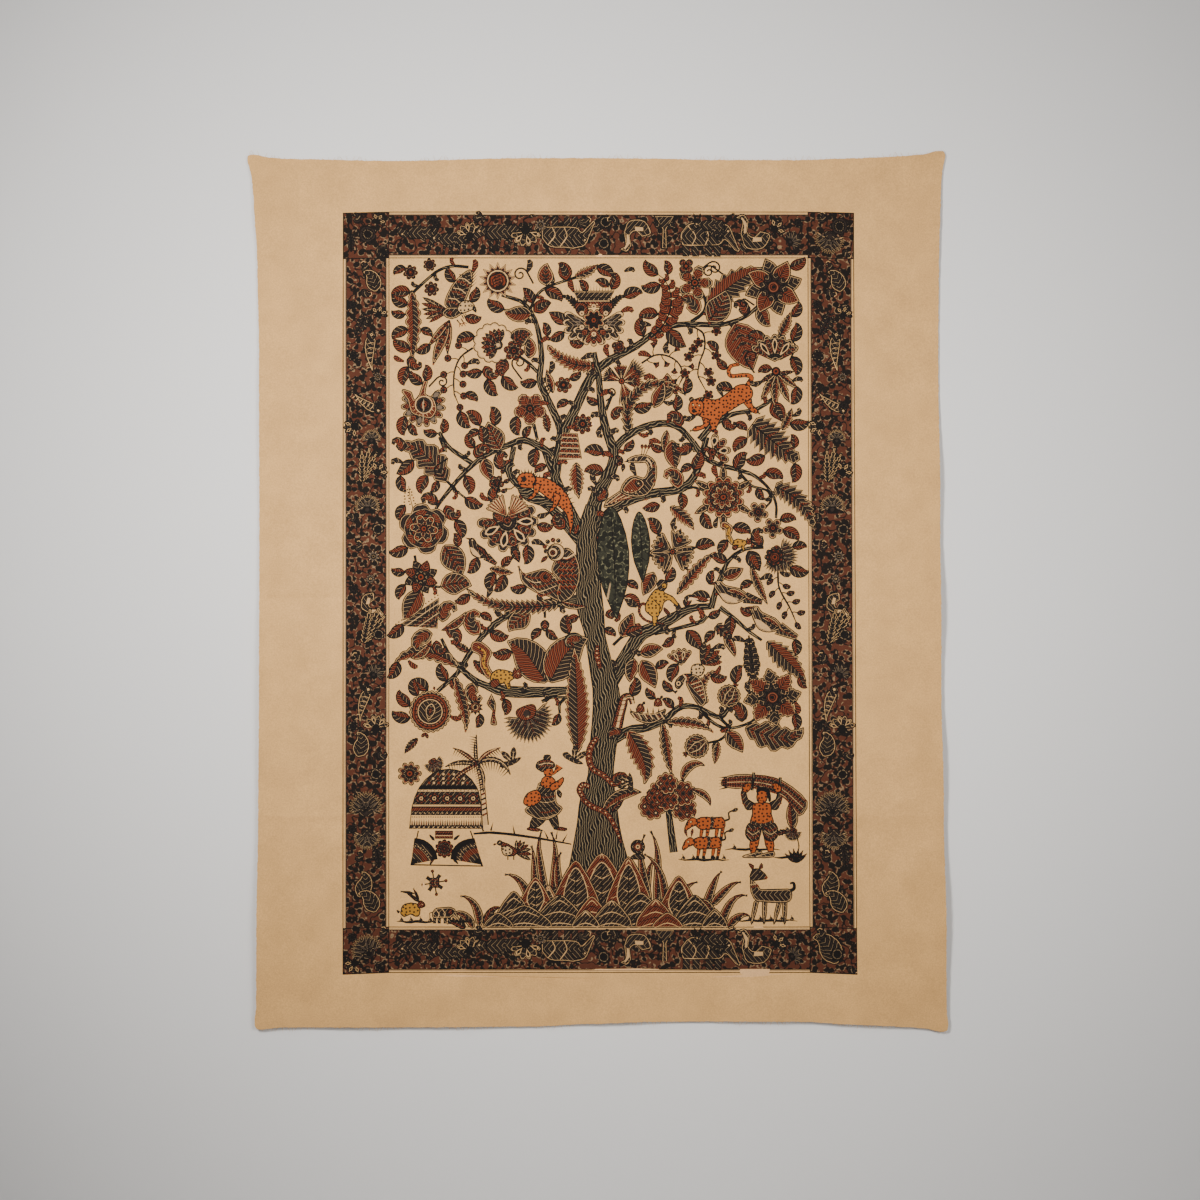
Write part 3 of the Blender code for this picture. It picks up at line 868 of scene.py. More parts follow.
def comb_crown(pen):
    """The toothed crown that stands over the great lotus."""
    pen.shape(BROWN, [(-0.95, -0.5), (-1.0, 0.0), (-1.25, 0.55), (1.25, 0.55), (1.0, 0.0), (0.95, -0.5)])
    pen.fill(RUST, [(-0.85, -0.42), (-0.88, -0.15), (0.88, -0.15), (0.85, -0.42)])
    pen.line(CREAM, [(-0.95, -0.08), (0.95, -0.08)], FINE)
    pen.line(BLACK, [(-1.05, 0.12), (1.05, 0.12)], LINE)
    for k in range(15):
        x = -1.2 + 2.4 * k / 14
        pen.spike(BLACK, (x, 0.5), (x * 1.08, 0.95), 0.11)
    for k in range(9):
        pen.bead(CREAM if k % 2 else BLACK, -0.8 + 0.2 * k, -0.28, 0.055, 5)


def great_lotus(x, down):
    """The big crowned flower at the top of the trunk."""
    pen = Pen(x, down, 0, 3.1)
    comb_crown(pen.part(0, 1.15, 0, 0.86))
    for side in (1, -1):
        horn = pen.part(side * 0.72, 0.62, 90 - side * 38, 1.25, -side)
        feather(horn, 7, 0.2, 0, 70, BROWN, BLACK)
        pen.shape(RUST, curve([(side * 0.25, 0.55), (side * 0.5, 1.0), (side * 0.98, 0.98),
                               (side * 0.92, 0.5), (side * 0.6, 0.25)], True, 4))
        pen.bead(BROWN, side * 0.68, 0.66, 0.22, 9)
        pen.bead(BLACK, side * 0.68, 0.66, 0.1, 6)
        petal = pen.part(side * 0.3, -0.05, 90 - side * 100, 1.35)
        petal.shape(CREAM, radial(4, 1.0, 0.8, 0, -42, 84, 6), FINE)
        petal.shape(BROWN, radial(4, 0.9, 0.72, 0, -38, 76, 6), FINE)
        for k in range(5):
            a = math.radians(-30 + 15 * k)
            petal.spike(ASH, ray(0.3, a), ray(0.7, a), BOLD)
    for turn, dye in ((-140, BROWN), (-40, BROWN), (-90, RUST)):
        petal = pen.part(0, -0.15, turn, 1.15)
        petal.shape(CREAM, radial(3, 1.0, 0.82, 0, -34, 68, 6), FINE)
        petal.shape(dye, radial(3, 0.9, 0.74, 0, -30, 60, 6), FINE)
        petal.shape(other(dye), drop(0.3, 0.72, 0.16), FINE)
    bloom(pen.part(0, 0.08, 0, 0.62), 8, 0.7, 0, 0.3, RUST, BLACK)
    for k in range(6):
        a = math.radians(60 * k + 30)
        pen.bead(CREAM, 0.72 * math.cos(a), 0.08 + 0.72 * math.sin(a), 0.13, 8)
        pen.bead(BLACK, 0.72 * math.cos(a), 0.08 + 0.72 * math.sin(a), 0.05, 5)


def halo_flower(x, down, turn):
    """A pale-edged scalloped flower with a comb of petals inside."""
    pen = Pen(x, down, turn, 3.35)
    pen.shape(CREAM, radial(13, 1.0, 0.9, 0, 0, 360, 4))
    pen.fill(CLOTH, radial(13, 0.88, 0.8, 0, 0, 360, 4))
    core = pen.part(-0.35, 0.0, 0, 1.0)
    for k in range(11):
        p = core.part(0, 0, -75 + 15 * k)
        p.shape(RUST if k % 2 else BROWN, drop(0.18, 0.98 - 0.03 * abs(k - 5), 0.13), FINE)
    core.shape(BROWN, disc(0.1, 0, 0.24, 10), FINE)
    core.fill(CREAM, disc(0.1, 0, 0.1, 6))


def paisley_flower(x, down):
    """A lobed flower with a rust crescent round its eye."""
    pen = Pen(x, down, 0, 3.7)
    pen.shape(BROWN, radial(11, 1.0, 0.78, 0, 150, 260, 5))
    for k in range(11):
        p = pen.part(0, 0, 150 + (k + 0.5) * 260 / 11)
        p.shape(RUST if k % 2 else ASH, drop(0.5, 0.88, 0.14), FINE)
    horn = curve([(-0.1, -0.55), (-0.55, -0.35), (-0.7, 0.2), (-0.95, 0.55), (-0.85, 0.7), (-0.5, 0.55),
                  (-0.4, 0.25), (-0.2, 0.45), (0.0, 1.05), (0.2, 1.0), (0.1, 0.5), (0.45, 0.3), (0.6, -0.2),
                  (0.35, -0.6)], True, 3)
    pen.shape(RUST, horn)
    pen.bead(CREAM, 0.02, 0.0, 0.4, 14)
    pen.bead(BROWN, 0.02, 0.0, 0.35, 14)
    heart(pen.part(0.02, 0, 0, 1), 0.22)
    for k in range(9):
        a = math.radians(190 + 20 * k)
        pen.spike(CREAM, ray(0.42, a), ray(0.56, a), FINE)


def star_lotus(x, down, size, points=8, teeth=0, start=0):
    """A flower of pointed, leaf-like petals."""
    pen = Pen(x, down, start, size)
    for ring, dye in ((0, BROWN), (1, RUST)):
        for k in range(points // 2):
            p = pen.part(0, 0, (2 * k + ring) * 360 / points)
            leaf(p, 0.62 if not teeth else 0.7, 0, 20, 0.95, teeth, 0.25, dye, other(dye), 3,
                 "heart")
    for k in range(points):
        pen.part(0, 0, (k + 0.5) * 360 / points).shape(BROWN, drop(0.1, 0.5, 0.12), FINE)
    heart(pen, 0.24, RUST)


def pomegranate(x, down):
    """A split fruit."""
    pen = Pen(x, down, 78, 3.5)
    pen.shape(BROWN, radial(26, 1.0, 0.93, 0.5, 0, 360, 3))
    pen.bead(RUST, 0, 0, 0.82, 20)
    for k in range(22):
        a = math.radians(360 / 22 * k)
        pen.spike(BLACK, ray(0.6, a), ray(0.8, a), BOLD)
    pen.bead(CREAM, 0, 0, 0.58, 18)
    pen.shape(BROWN, disc(0, 0, 0.54, 18), FINE)
    pen.shape(CREAM, drop(-0.42, 0.42, 0.26, 3), FINE)
    pen.fill(BROWN, drop(-0.34, 0.34, 0.19, 3))
    pen.shape(RUST, drop(-0.2, 0.22, 0.1), FINE)
    for side in (1, -1):
        pen.part(-0.98, 0, 180 + side * 30, 0.3).shape(RUST, drop(0, 1, 0.3), FINE)
    pen.part(0.98, 0, 20, 0.22).shape(RUST, drop(0, 1, 0.3), FINE)


def dotted_fan(x, down):
    """A wide striped fan with beads along its far edge and curled leaves at its foot."""
    pen = Pen(x, down, 130, 5.9)
    sides = [(0, 0), (0.75, 0.78), (0.62, -0.58)]
    pen.shape(BROWN, sides)
    far, near = np.array(sides[1]), np.array(sides[2])
    for k, dye in enumerate((RUST, BLACK, RUST, CREAM, RUST, BLACK, CREAM)):
        share = 0.2 + 0.115 * k
        pen.line(dye, np.array([far * share * 0.92, near * share * 0.92]), 0.16 if dye != CREAM else FINE)
    for k in range(15):
        at_edge = near + (far - near) * (k + 0.2) / 14.4
        pen.bead(BLACK, *(at_edge * 1.05 + [0.04, 0]), 0.022, 6)
        pen.spike(BLACK, at_edge * 0.97, at_edge * 1.04, 0.12)


def thistle_head(pen):
    """A ragged flower that opens away from its stalk."""
    pen.shape(BROWN, radial(23, 1.0, 0.78, 1.0, -115, 230, 2))
    for k in range(11):
        p = pen.part(-0.1, 0, -95 + 19 * k)
        p.spike(RUST if k % 2 else ASH, (0.15, 0), (0.86, 0), 0.3)
        p.spike(BLACK, (0.2, 0), (0.7, 0), LINE)
    pen.shape(RUST, curve([(-0.5, -0.3), (-0.25, -0.42), (0.05, -0.2), (0.05, 0.2), (-0.25, 0.42),
                           (-0.5, 0.3)], True, 3))
    pen.bead(BROWN, -0.2, 0, 0.16, 8)


def ribbed_bud(x, down, turn, size):
    """A round bud with ribs and a ruff."""
    pen = Pen(x, down, turn, size)
    pen.shape(BROWN, radial(18, 1, 0.9, 0.7, 0, 360, 3))
    for k in range(5):
        y = -0.6 + 0.3 * k
        bow = curve([(-0.78 * math.cos(y), y * 0.4), (0, y), (0.78 * math.cos(y), y * 0.4)], steps=3)
        pen.line(RUST if k % 2 == 0 else CREAM, bow, 0.06, 0.2 if k % 2 == 0 else FINE, 0.06)
    for side in (-1, 0, 1):
        pen.part(0.9, 0, side * 35, 0.4).shape(RUST, drop(0, 1, 0.25), FINE)


def pod(x, down, length, width, lean):
    """A long dark seed pod that hangs from the branch."""
    pen = Pen(x, down, -90 + lean, length)
    outline = curve([(0, 0), (0.12, -0.62), (0.4, -1.0), (0.7, -0.8), (0.9, -0.3), (1, 0), (0.9, 0.3),
                     (0.7, 0.8), (0.4, 1.0), (0.12, 0.62)], True, 4) * [1, width / 2]
    pen.shape(GREEN, outline)
    pen.line(BLACK, [(0.03, 0), (0.5, 0.01), (0.95, 0)], 0.1, 0.2, 0.1)


def flowers():
    """Every flower, fruit, fern and spray in its place."""
    great_lotus(-0.8, 26.2)
    halo_flower(-17.0, 29.6, 155)
    paisley_flower(-28.3, 39.6)
    sunflower(Pen(-16.3, 19.6, 0, 3.1))
    for x, down, size, petals in ((-30.4, 18.2, 1.25, 7), (-27.3, 17.0, 1.1, 7), (-27.0, 20.9, 1.25, 7),
                                  (-13.7, 30.9, 1.7, 6), (-5.7, 36.4, 1.4, 6), (-2.6, 42.7, 1.7, 8),
                                  (-30.5, 99.1, 2.0, 9), (3.2, 30.3, 1.2, 4), (-16.5, 52.2, 1.3, 5)):
        bloom(Pen(x, down, 20, size), petals, 0.72, 0.1, 0.3, RUST, BROWN)
    bloom(Pen(-11.1, 40.2, 18, 2.75), 5, 0.55, 0, 0.18, BROWN, RUST, halo=RUST)
    layered(Pen(-28.2, 59.6, 10, 4.2), 6, 6, 0, BROWN, RUST, 0, 0.16)
    star_lotus(-28.7, 67.4, 2.9, 8, 0, 20)
    star_lotus(28.2, 20.6, 4.8, 8, 0, 12)
    star_lotus(28.0, 86.8, 4.8, 8, 7, 5)
    # A full flower with six leaves behind it.
    for k in range(6):
        leaf(Pen(20.1, 54.5, 30 + 60 * k, 5.4), 0.24, 0, 0, 1.6, dye=RUST, accent=BROWN, style="heart")
    layered(Pen(20.1, 54.5, 0, 3.5), 12, 8, 0, RUST, BROWN, 0, 0.18)
    # Four round petals between pointed ones.
    for k in range(6):
        leaf(Pen(11.9, 63.3, 10 + 60 * k, 4.0), 0.3, 0, 0, 1.1, dye=RUST, accent=BROWN, style="heart")
    for turn in (60, 150, 215, 330):
        petal = Pen(11.9, 63.3, turn, 3.6)
        petal.shape(BROWN, radial(5, 1.0, 0.86, 0, -36, 72, 5))
        petal.shape(RUST, disc(0.6, 0, 0.16, 8), FINE)
    heart(Pen(11.9, 63.3, 0, 1), 0.5)
    fan(Pen(-14.7, 58.5, -75, 5.0), 9, 230, 0.82, 0, 0.14)
    for side in (1, -1):
        wing = Pen(-14.7, 57.7, 90 - side * 48, 3.9, side)
        wing.shape(RUST, radial(7, 1.0, 0.9, 0.8, -24, 62, 3))
        for k in range(6):
            a = math.radians(-16 + 9 * k)
            wing.spike(CREAM, ray(0.86, a), ray(0.3, a), 0.24)
    leaf(Pen(-13.9, 62.4, -68, 2.9), 0.55, style="heart")
    pomegranate(-27.2, 89.1)
    dotted_fan(-26.0, 75.7)
    for x, down, turn, size, bend, dye in ((-25.4, 76.0, 25, 5.2, 30, BROWN),
                                           (-27.0, 77.6, -125, 4.8, -40, BROWN)):
        leaf(Pen(x, down, turn, size), 0.3, bend, bend, 1.0, 0, dye=dye, style="stripe")
    thistle_head(Pen(-11.3, 90.2, -70, 4.1))
    thistle_head(Pen(29.1, 64.0, -35, 3.1))
    ribbed_bud(21.0, 86.6, 60, 2.0)
    ribbed_bud(15.8, 94.7, 215, 2.1)
    bloom(Pen(28.4, 64.2, 0, 1.7), 9, 0.8, 0, 0.5)
    # Blossom and hooked flowers at the top right.
    bloom(Pen(15.5, 19.9, 35, 3.0), 5, 0.42, 0.1, 0.2, BROWN, RUST)
    bloom(Pen(14.1, 17.2, 0, 1.4), 4, 0.6, 0.3, 0.3, BROWN, RUST)
    fan(Pen(28.4, 32.7, 90, 4.6), 7, 130, 0.86, 0.15, 0.1, BROWN, RUST, cup=False)
    for turn, length, bend in ((-150, 3.2, 60), (-118, 5.0, 30), (-92, 5.6, 10), (-66, 5.2, -30),
                               (-35, 4.4, -60), (8, 3.0, 30)):
        leaf(Pen(28.6, 34.6, turn, length), 0.3, bend, -bend, 0.9, 6, 0.2, style="half")
    heart(Pen(28.6, 34.2, 0, 1), 0.75)
    # The three-lobed ragged flower.
    for turn, size, dye in ((155, 3.4, BROWN), (38, 4.3, BROWN), (-72, 4.0, BROWN), (0, 3.4, RUST),
                            (95, 2.8, RUST)):
        lobe = Pen(3.7, 35.8, turn, size)
        lobe.shape(dye, radial(9, 1.0, 0.84, 1.0, -26, 52, 2))
        lobe.shape(other(dye), radial(3, 0.74, 0.6, 0, -18, 36, 4), FINE)
        lobe.spike(CREAM, (0.1, 0), (0.6, 0), LINE)
    heart(Pen(3.7, 35.8, 0, 1), 0.55)
    # Hooked bud on the right-hand branch.
    fan(Pen(18.4, 47.2, 25, 3.0), 4, 150, 0.7, 0, 0.25)
    spray([(-20.3, 30.4), (-22.3, 31.9), (-23.3, 34.3), (-23.4, 37.4), (-23.1, 38.4)], 9, "berry", 1.15, 1.2)
    spray([(6.9, 32.9), (9.0, 31.6), (11.1, 31.7), (12.9, 32.9), (13.6, 34.8), (13.2, 35.9)], 8, "bell", 1.0,
          1.2)
    spray([(15.0, 26.9), (16.8, 28.0), (17.1, 30.4), (16.2, 32.9), (16.0, 34.8), (16.6, 36.1)], 9, "flower",
          1.35, 1.4)
    spray([(28.9, 66.6), (29.1, 69.2), (30.7, 72.1), (31.5, 73.9)], 9, "leaf", 1.5, 0.8)
    spray([(-16.5, 54.0), (-16.2, 52.9), (-15.8, 51.4)], 4, "leaf", 1.3, 0.6)
    for x, down, size in ((25.7, 56.9, 1.8), (28.1, 59.5, 1.8)):
        bloom(Pen(x, down, 15, size), 5, 0.6, 0.1, 0.26, RUST, BROWN)
    pen = Pen(-8.7, 75.0, -90, 1.5)
    spray_end(pen.part(-0.5, 0, 0, 1.2), "bud")
    # Pear on a foot.
    pen = Pen(-17.3, 86.2, -90, 5.0)
    pen.shape(BROWN, curve([(0, -0.02), (0.25, -0.12), (0.5, -0.27), (0.72, -0.12), (0.9, 0.05), (1.15, 0.0),
                            (1.6, -0.05), (1.62, 0.3), (1.15, 0.2), (0.7, 0.25), (0.45, 0.22), (0.2, 0.08),
                            (0, 0.02)], True, 3) * [0.62, 0.6])
    for y in (-0.09, -0.03, 0.03, 0.09):
        pen.line(RUST if y < 0 else BLACK, curve([(0.1, y * 0.3), (0.3, y), (0.42, y)], steps=3), 0.05, 0.14,
                 0.05)
    pen.line(RUST, [(0.5, 0.07), (0.95, 0.07)], 0.3, 0.4)
    sunflower(Pen(-19.9, 88.4, 0, 1.3), 10, BROWN, RUST, 0.35)
    thistle_head(Pen(-26.6, 97.5, -60, 1.7))
    # Dotted sprig.
    for k in range(18):
        row, column = divmod(k, 3)
        pen = Pen(-30.4, 56.1, 98, 1)
        y = (column - 1) * (0.85 - 0.08 * row) + 0.1 * (row % 2)
        pen.bead(BLACK if k % 3 else RUST, 0.45 + 0.48 * row, y, 0.14, 6)
    stroke([(-30.0, 56.3), (-30.4, 54.7), (-30.7, 52.7)], 0.14, 0.08)
    pod(1.9, 56.0, 18.2, 0.29, 3)
    pod(6.5, 56.8, 11.6, 0.27, 3)
    fern(Pen(8.4, 28.8, 62, 12.5), 8, 0.24, 80, 40, RUST, 55, 150)
    feather(Pen(-1.1, 33.3, 166, 8.4), 11, 0.16, -62, 0, RUST, BROWN)
    # Striped comb beside the trunk.
    pen = Pen(-4.7, 44.0, -90, 1)
    pen.shape(BROWN, [(0, -1.3), (0.2, 1.3), (4.3, 2.0), (4.6, -1.9)])
    for k in range(5):
        y = 0.5 + 0.85 * k
        pen.line(RUST, [(y, -1.25 - 0.12 * k), (y + 0.1, 1.2 + 0.15 * k)], 0.34)
        pen.line(CREAM, [(y + 0.3, -1.25 - 0.12 * k), (y + 0.4, 1.2 + 0.15 * k)], FINE)
    feather(Pen(24.7, 42.7, -42, 9.8), 9, 0.3, -20, 40)
    feather(Pen(28.4, 52.9, -35, 9.6), 9, 0.19, -62, 0)
    feather(Pen(5.0, 43.7, 62, 15.5), 14, 0.075, -165, 0)
    leaf(Pen(8.9, 40.1, 68, 4.6), 0.5)
    fern(Pen(24.2, 76.8, -84, 7.8), 7, 0.3, 0, 0, BROWN, 40, 30)
    feather(Pen(17.4, 87.8, 95, 6.4), 10, 0.14, -110, 0, RUST, BROWN)
    feather(Pen(18.9, 75.2, -40, 3.4), 5, 0.34, 0, 0)


# ---- Birds and beasts. Each is drawn in centimetres round its own middle, facing right. -------------


def eye(pen, x, y, r=0.16, white=CREAM):
    """An eye with a drawn edge."""
    for dye, size in ((BLACK, 1.35), (white, 1.0), (BLACK, 0.5)):
        pen.bead(dye, x, y, r * size, 8)


def claws(pen, x, y, turn=-90, size=0.9, dye=RUST):
    """A foot with three toes."""
    foot = pen.part(x, y, turn, size)
    foot.line(BLACK, [(0, 0), (0.6, 0)], 0.2, 0.16)
    for spread in (-45, 0, 45):
        a = math.radians(spread)
        foot.line(dye, [(0.55, 0), (0.55 + 0.5 * math.cos(a), 0.5 * math.sin(a))], 0.16, 0.08)


def wing(pen, feathers, length, spread, dye=BROWN, accent=RUST, width=0.22, start=0):
    """Feathers fanned from a shoulder."""
    for k in range(feathers):
        turn = start + spread * k / max(feathers - 1, 1)
        quill = pen.part(0, 0, turn, length * (1 - 0.05 * k))
        barb = dye if k % 2 == 0 else accent
        quill.shape(barb, curve([(0, -width / 3), (0.6, -width / 2), (1, 0), (0.6, width / 2),
                                 (0, width / 3)], True, 2), 0.11)
        quill.line(CREAM if barb == BROWN else BLACK, [(0.1, 0), (0.8, 0)], 0.09, 0.04)


def hoopoe(pen):
    """The bird that flies in at the top left."""
    wing(pen.part(-1.4, 0.5), 6, 4.6, 62, start=150, width=0.2)
    for k, (turn, length) in enumerate(((-105, 5.6), (-122, 7.8), (-140, 5.6))):
        tail = pen.part(-1.0, -0.9, turn + 10, length)
        leaf(tail, 0.22, -14, 20, 0.9, dye=(BROWN, RUST, BROWN)[k], style="stripe",
             accent=(RUST, BROWN, RUST)[k])
    raised = pen.part(-0.6, 1.0, 66, 6.6)
    raised.shape(BROWN, curve([(0, -0.16), (0.35, -0.24), (0.8, -0.2), (1.05, -0.05), (0.9, 0.1),
                               (0.5, 0.24), (0, 0.2)], True, 4))
    for k in range(9):
        x = 0.1 + 0.09 * k
        raised.line((RUST, CREAM, BLACK)[k % 3], curve([(x, -0.17), (x + 0.05, 0), (x, 0.17)], steps=2),
                    (0.3, 0.14, 0.18)[k % 3])
    for k in range(5):
        raised.spike(BLACK, (0.62 + 0.08 * k, -0.2 + 0.02 * k), (0.85 + 0.09 * k, -0.3 + 0.03 * k), 0.22)
    pen.body([(-2.2, 0.4), (-1.2, 1.2), (0.2, 1.2), (1.2, 1.6), (1.4, 0.6), (0.6, -0.3), (-0.6, -0.8),
              (-1.8, -0.4)], BROWN)
    pen.shape(RUST, disc(-0.9, 0.2, 0.5, 10), FINE)
    pen.body([(0.2, 0.9), (0.9, 2.1), (2.2, 2.3), (3.1, 1.5), (2.8, 0.7), (1.8, 0.4), (0.9, 0.0)], SPECK)
    pen.body([(2.9, 1.5), (3.4, 0.9), (3.3, 0.2), (2.7, 0.8)], BROWN)
    eye(pen, 2.4, 1.4)
    for k in range(3):
        pen.line(BLACK, [(1.0 + 0.3 * k, -0.1 + 0.1 * k), (1.3 + 0.3 * k, -0.7)], 0.16)
    claws(pen, 0.9, -0.7, -60, 1.3)
    claws(pen, 0.2, -0.9, -50, 1.3)


def songbird(pen, crest=0, dye=BROWN, accent=RUST, belly=CREAM, tail=1.6):
    """A small perched bird with a folded wing, 5 long."""
    quill = pen.part(-1.2, 0.1, 194, tail)
    quill.shape(dye, [(0, -0.32), (1.0, -0.25), (1.05, 0.05), (0, 0.38)])
    quill.line(accent, [(0.1, 0.05), (0.95, -0.08)], 0.2)
    pen.body([(-1.5, 0.2), (-0.6, 0.85), (0.7, 0.95), (1.2, 1.3), (1.7, 1.2), (1.8, 0.7), (1.4, 0.1),
              (0.5, -0.7), (-0.6, -0.6)], dye)
    pen.fill(belly, curve([(-0.6, -0.45), (0.4, -0.55), (1.2, 0.05), (0.6, 0.15), (-0.2, -0.1)], True, 2))
    pen.body([(-1.9, -0.05), (-0.5, 0.1), (0.6, 0.35), (0.2, 0.75), (-0.7, 0.65)], accent, 2)
    for k in range(3):
        pen.line(BLACK, [(-1.3 + 0.4 * k, 0.05 + 0.08 * k), (-0.5 + 0.4 * k, 0.5)], 0.11, 0.07)
    pen.body([(1.65, 1.15), (2.4, 0.8), (1.75, 0.8)], accent, 2)
    eye(pen, 1.4, 0.98, 0.13)
    for k in range(crest):
        pen.spike(BLACK, (1.2 - 0.1 * k, 1.25), (0.9 - 0.35 * k, 1.9), 0.24)


def peacock(pen):
    """The crested bird that stands beside the pods."""
    pen.body([(-6.0, -3.4), (-5.2, -2.6), (-3.6, -1.6), (-2.4, -0.9), (-1.4, -1.6), (-2.4, -2.8),
              (-4.6, -4.2), (-6.2, -4.4)], BROWN)
    for k in range(6):
        pen.line(RUST if k % 2 else CREAM, [(-5.8 + 0.35 * k, -3.9 + 0.12 * k),
                                            (-3.0 + 0.3 * k, -1.7 - 0.2 * k)], 0.2 if k % 2 else FINE)
    pen.body([(-3.6, -1.6), (-2.6, 0.3), (-1.0, 1.0), (0.4, 0.6), (1.0, 2.0), (0.6, 3.0), (-0.6, 2.9),
              (-2.2, 3.0), (-2.4, 3.6), (-1.0, 4.3), (1.0, 4.3), (2.3, 3.2), (2.6, 1.4), (2.2, -0.6),
              (1.0, -2.3), (-0.8, -2.7), (-2.6, -2.4)], BROWN, 4)
    for k in range(7):
        y = 3.4 - 0.62 * k
        pen.line(RUST if k % 2 else BLACK, [(1.5 + 0.12 * k, y), (2.3 - 0.03 * k, y - 0.5)],
                 0.3 if k % 2 else 0.14)
    pen.line(CREAM, curve([(0.9, 3.7), (1.5, 3.0), (1.7, 2.2)], steps=3), 0.3, 0.16)
    pen.body([(-3.2, -1.4), (-1.6, 0.5), (0.0, 0.3), (0.5, -0.6), (-0.4, -1.7), (-2.0, -2.2)], RUST)
    pen.shape(BROWN, disc(-0.5, -0.4, 0.62, 11), FINE)
    pen.shape(CREAM, disc(-0.5, -0.4, 0.3, 8), FINE)
    for k in range(8):
        pen.bead(CREAM if k % 2 else BLACK, -2.6 + 0.33 * k, -1.55 - 0.22 * (k % 3), 0.11, 5)
    eye(pen, -0.9, 3.62, 0.2)
    pen.body([(-2.2, 3.5), (-3.0, 3.1), (-2.2, 3.1)], RUST, 2)
    for k in range(3):
        pen.line(BLACK, [(0.3 * k, 4.2), (0.1 + 0.5 * k, 5.3)], 0.13)
        pen.part(0.1 + 0.5 * k, 5.2, 90 - 8 * k, 0.9).shape(RUST, drop(0, 1, 0.32), FINE)
    claws(pen, 0.6, -2.3, -80, 1.0)
    leaf(pen.part(-3.0, 3.2, 140, 1.8), 0.5)
    leaf(pen.part(-3.0, 3.1, 200, 1.6), 0.5, dye=RUST, accent=BROWN)
    leaf(pen.part(-2.9, 2.9, 260, 1.5), 0.5)


def scaled_bird(pen):
    """The big round-faced bird with a long plumed tail."""
    tail = pen.part(0.5, -4.6, 183, 16.4)
    feather(tail, 17, 0.085, -20, -40)
    pen.body([(-6.2, 2.0), (-6.0, 0.3), (-5.4, -1.2), (-3.4, -2.6), (-1.2, -3.3), (1.0, -4.2), (1.4, -2.0),
              (0.2, 0.0), (-1.6, 1.4), (-3.4, 1.1), (-5.0, 0.6), (-5.8, 1.3)], BROWN, 4)
    for k in range(5):
        y = 0.7 - 0.75 * k
        pen.line(RUST if k % 2 == 0 else CREAM,
                 curve([(-5.6 + 0.6 * k, y - 0.1), (-3.4 + 0.3 * k, y - 0.9), (0.3, y + 0.1)], steps=4),
                 0.1, 0.36 if k % 2 == 0 else FINE, 0.1)
    pen.shape(RUST, curve([(-2.8, 0.4), (-1.5, 1.0), (-0.4, 0.1), (-1.0, -1.0), (-2.4, -0.8)], True, 3),
              FINE)
    pen.bead(BROWN, -1.6, 0.0, 0.45, 8)
    breast = [(-0.6, 1.2), (0.4, 3.6), (1.8, 5.0), (3.2, 4.3), (4.2, 2.2), (4.3, -0.6), (3.0, -3.4),
              (1.0, -4.4), (0.2, -2.8), (0.6, -0.6)]
    pen.body(breast, BROWN, 4)
    for k in range(26):
        row, place = divmod(k, 4)
        x, y = 0.9 + 0.75 * place + 0.37 * (row % 2) - 0.04 * row, 3.0 - 0.95 * row
        if row < 6 or place < 1:
            pen.bead(RUST, x, y, 0.36)
            pen.bead(BLACK, x + 0.1, y - 0.12, 0.18, 5)
    for k in range(3):
        pen.line((CREAM, BLACK, RUST)[k], curve([(0.7 - 0.2 * k, 3.6 - 0.5 * k), (2.0, 3.2 - 0.5 * k),
                                                 (3.4, 4.0 - 0.5 * k)], steps=3), 0.3, 0.2)
    pen.shape(CREAM, disc(0.2, 4.2, 1.55, 18))
    pen.shape(BROWN, disc(-0.15, 4.2, 1.2, 16), FINE)
    pen.shape(CREAM, disc(-0.3, 4.2, 0.85, 14), FINE)
    pen.shape(RUST, disc(-0.35, 4.15, 0.5, 11), FINE)
    pen.bead(BLACK, -0.35, 4.15, 0.22, 8)
    for k in range(4):
        a = math.radians(20 + 40 * k)
        near, far = [(0.2 + r * math.cos(a), 4.2 + r * math.sin(a)) for r in (1.6, 2.1)]
        pen.line(BLACK, [near, far], 0.12)
    pen.body([(-1.2, 3.6), (-2.0, 3.4), (-2.4, 2.4), (-1.4, 2.9)], RUST, 2)
    for k, (x, y) in enumerate(((-1.5, 4.4), (-1.7, 5.2), (-1.2, 6.0), (-0.3, 6.3), (0.6, 6.2))):
        pen.shape(RUST if k % 2 else BROWN, disc(x, y, 0.42, 8), FINE)
    leaf(pen.part(0.8, -4.2, -15, 5.0), 0.26, 30, 0, style="half")


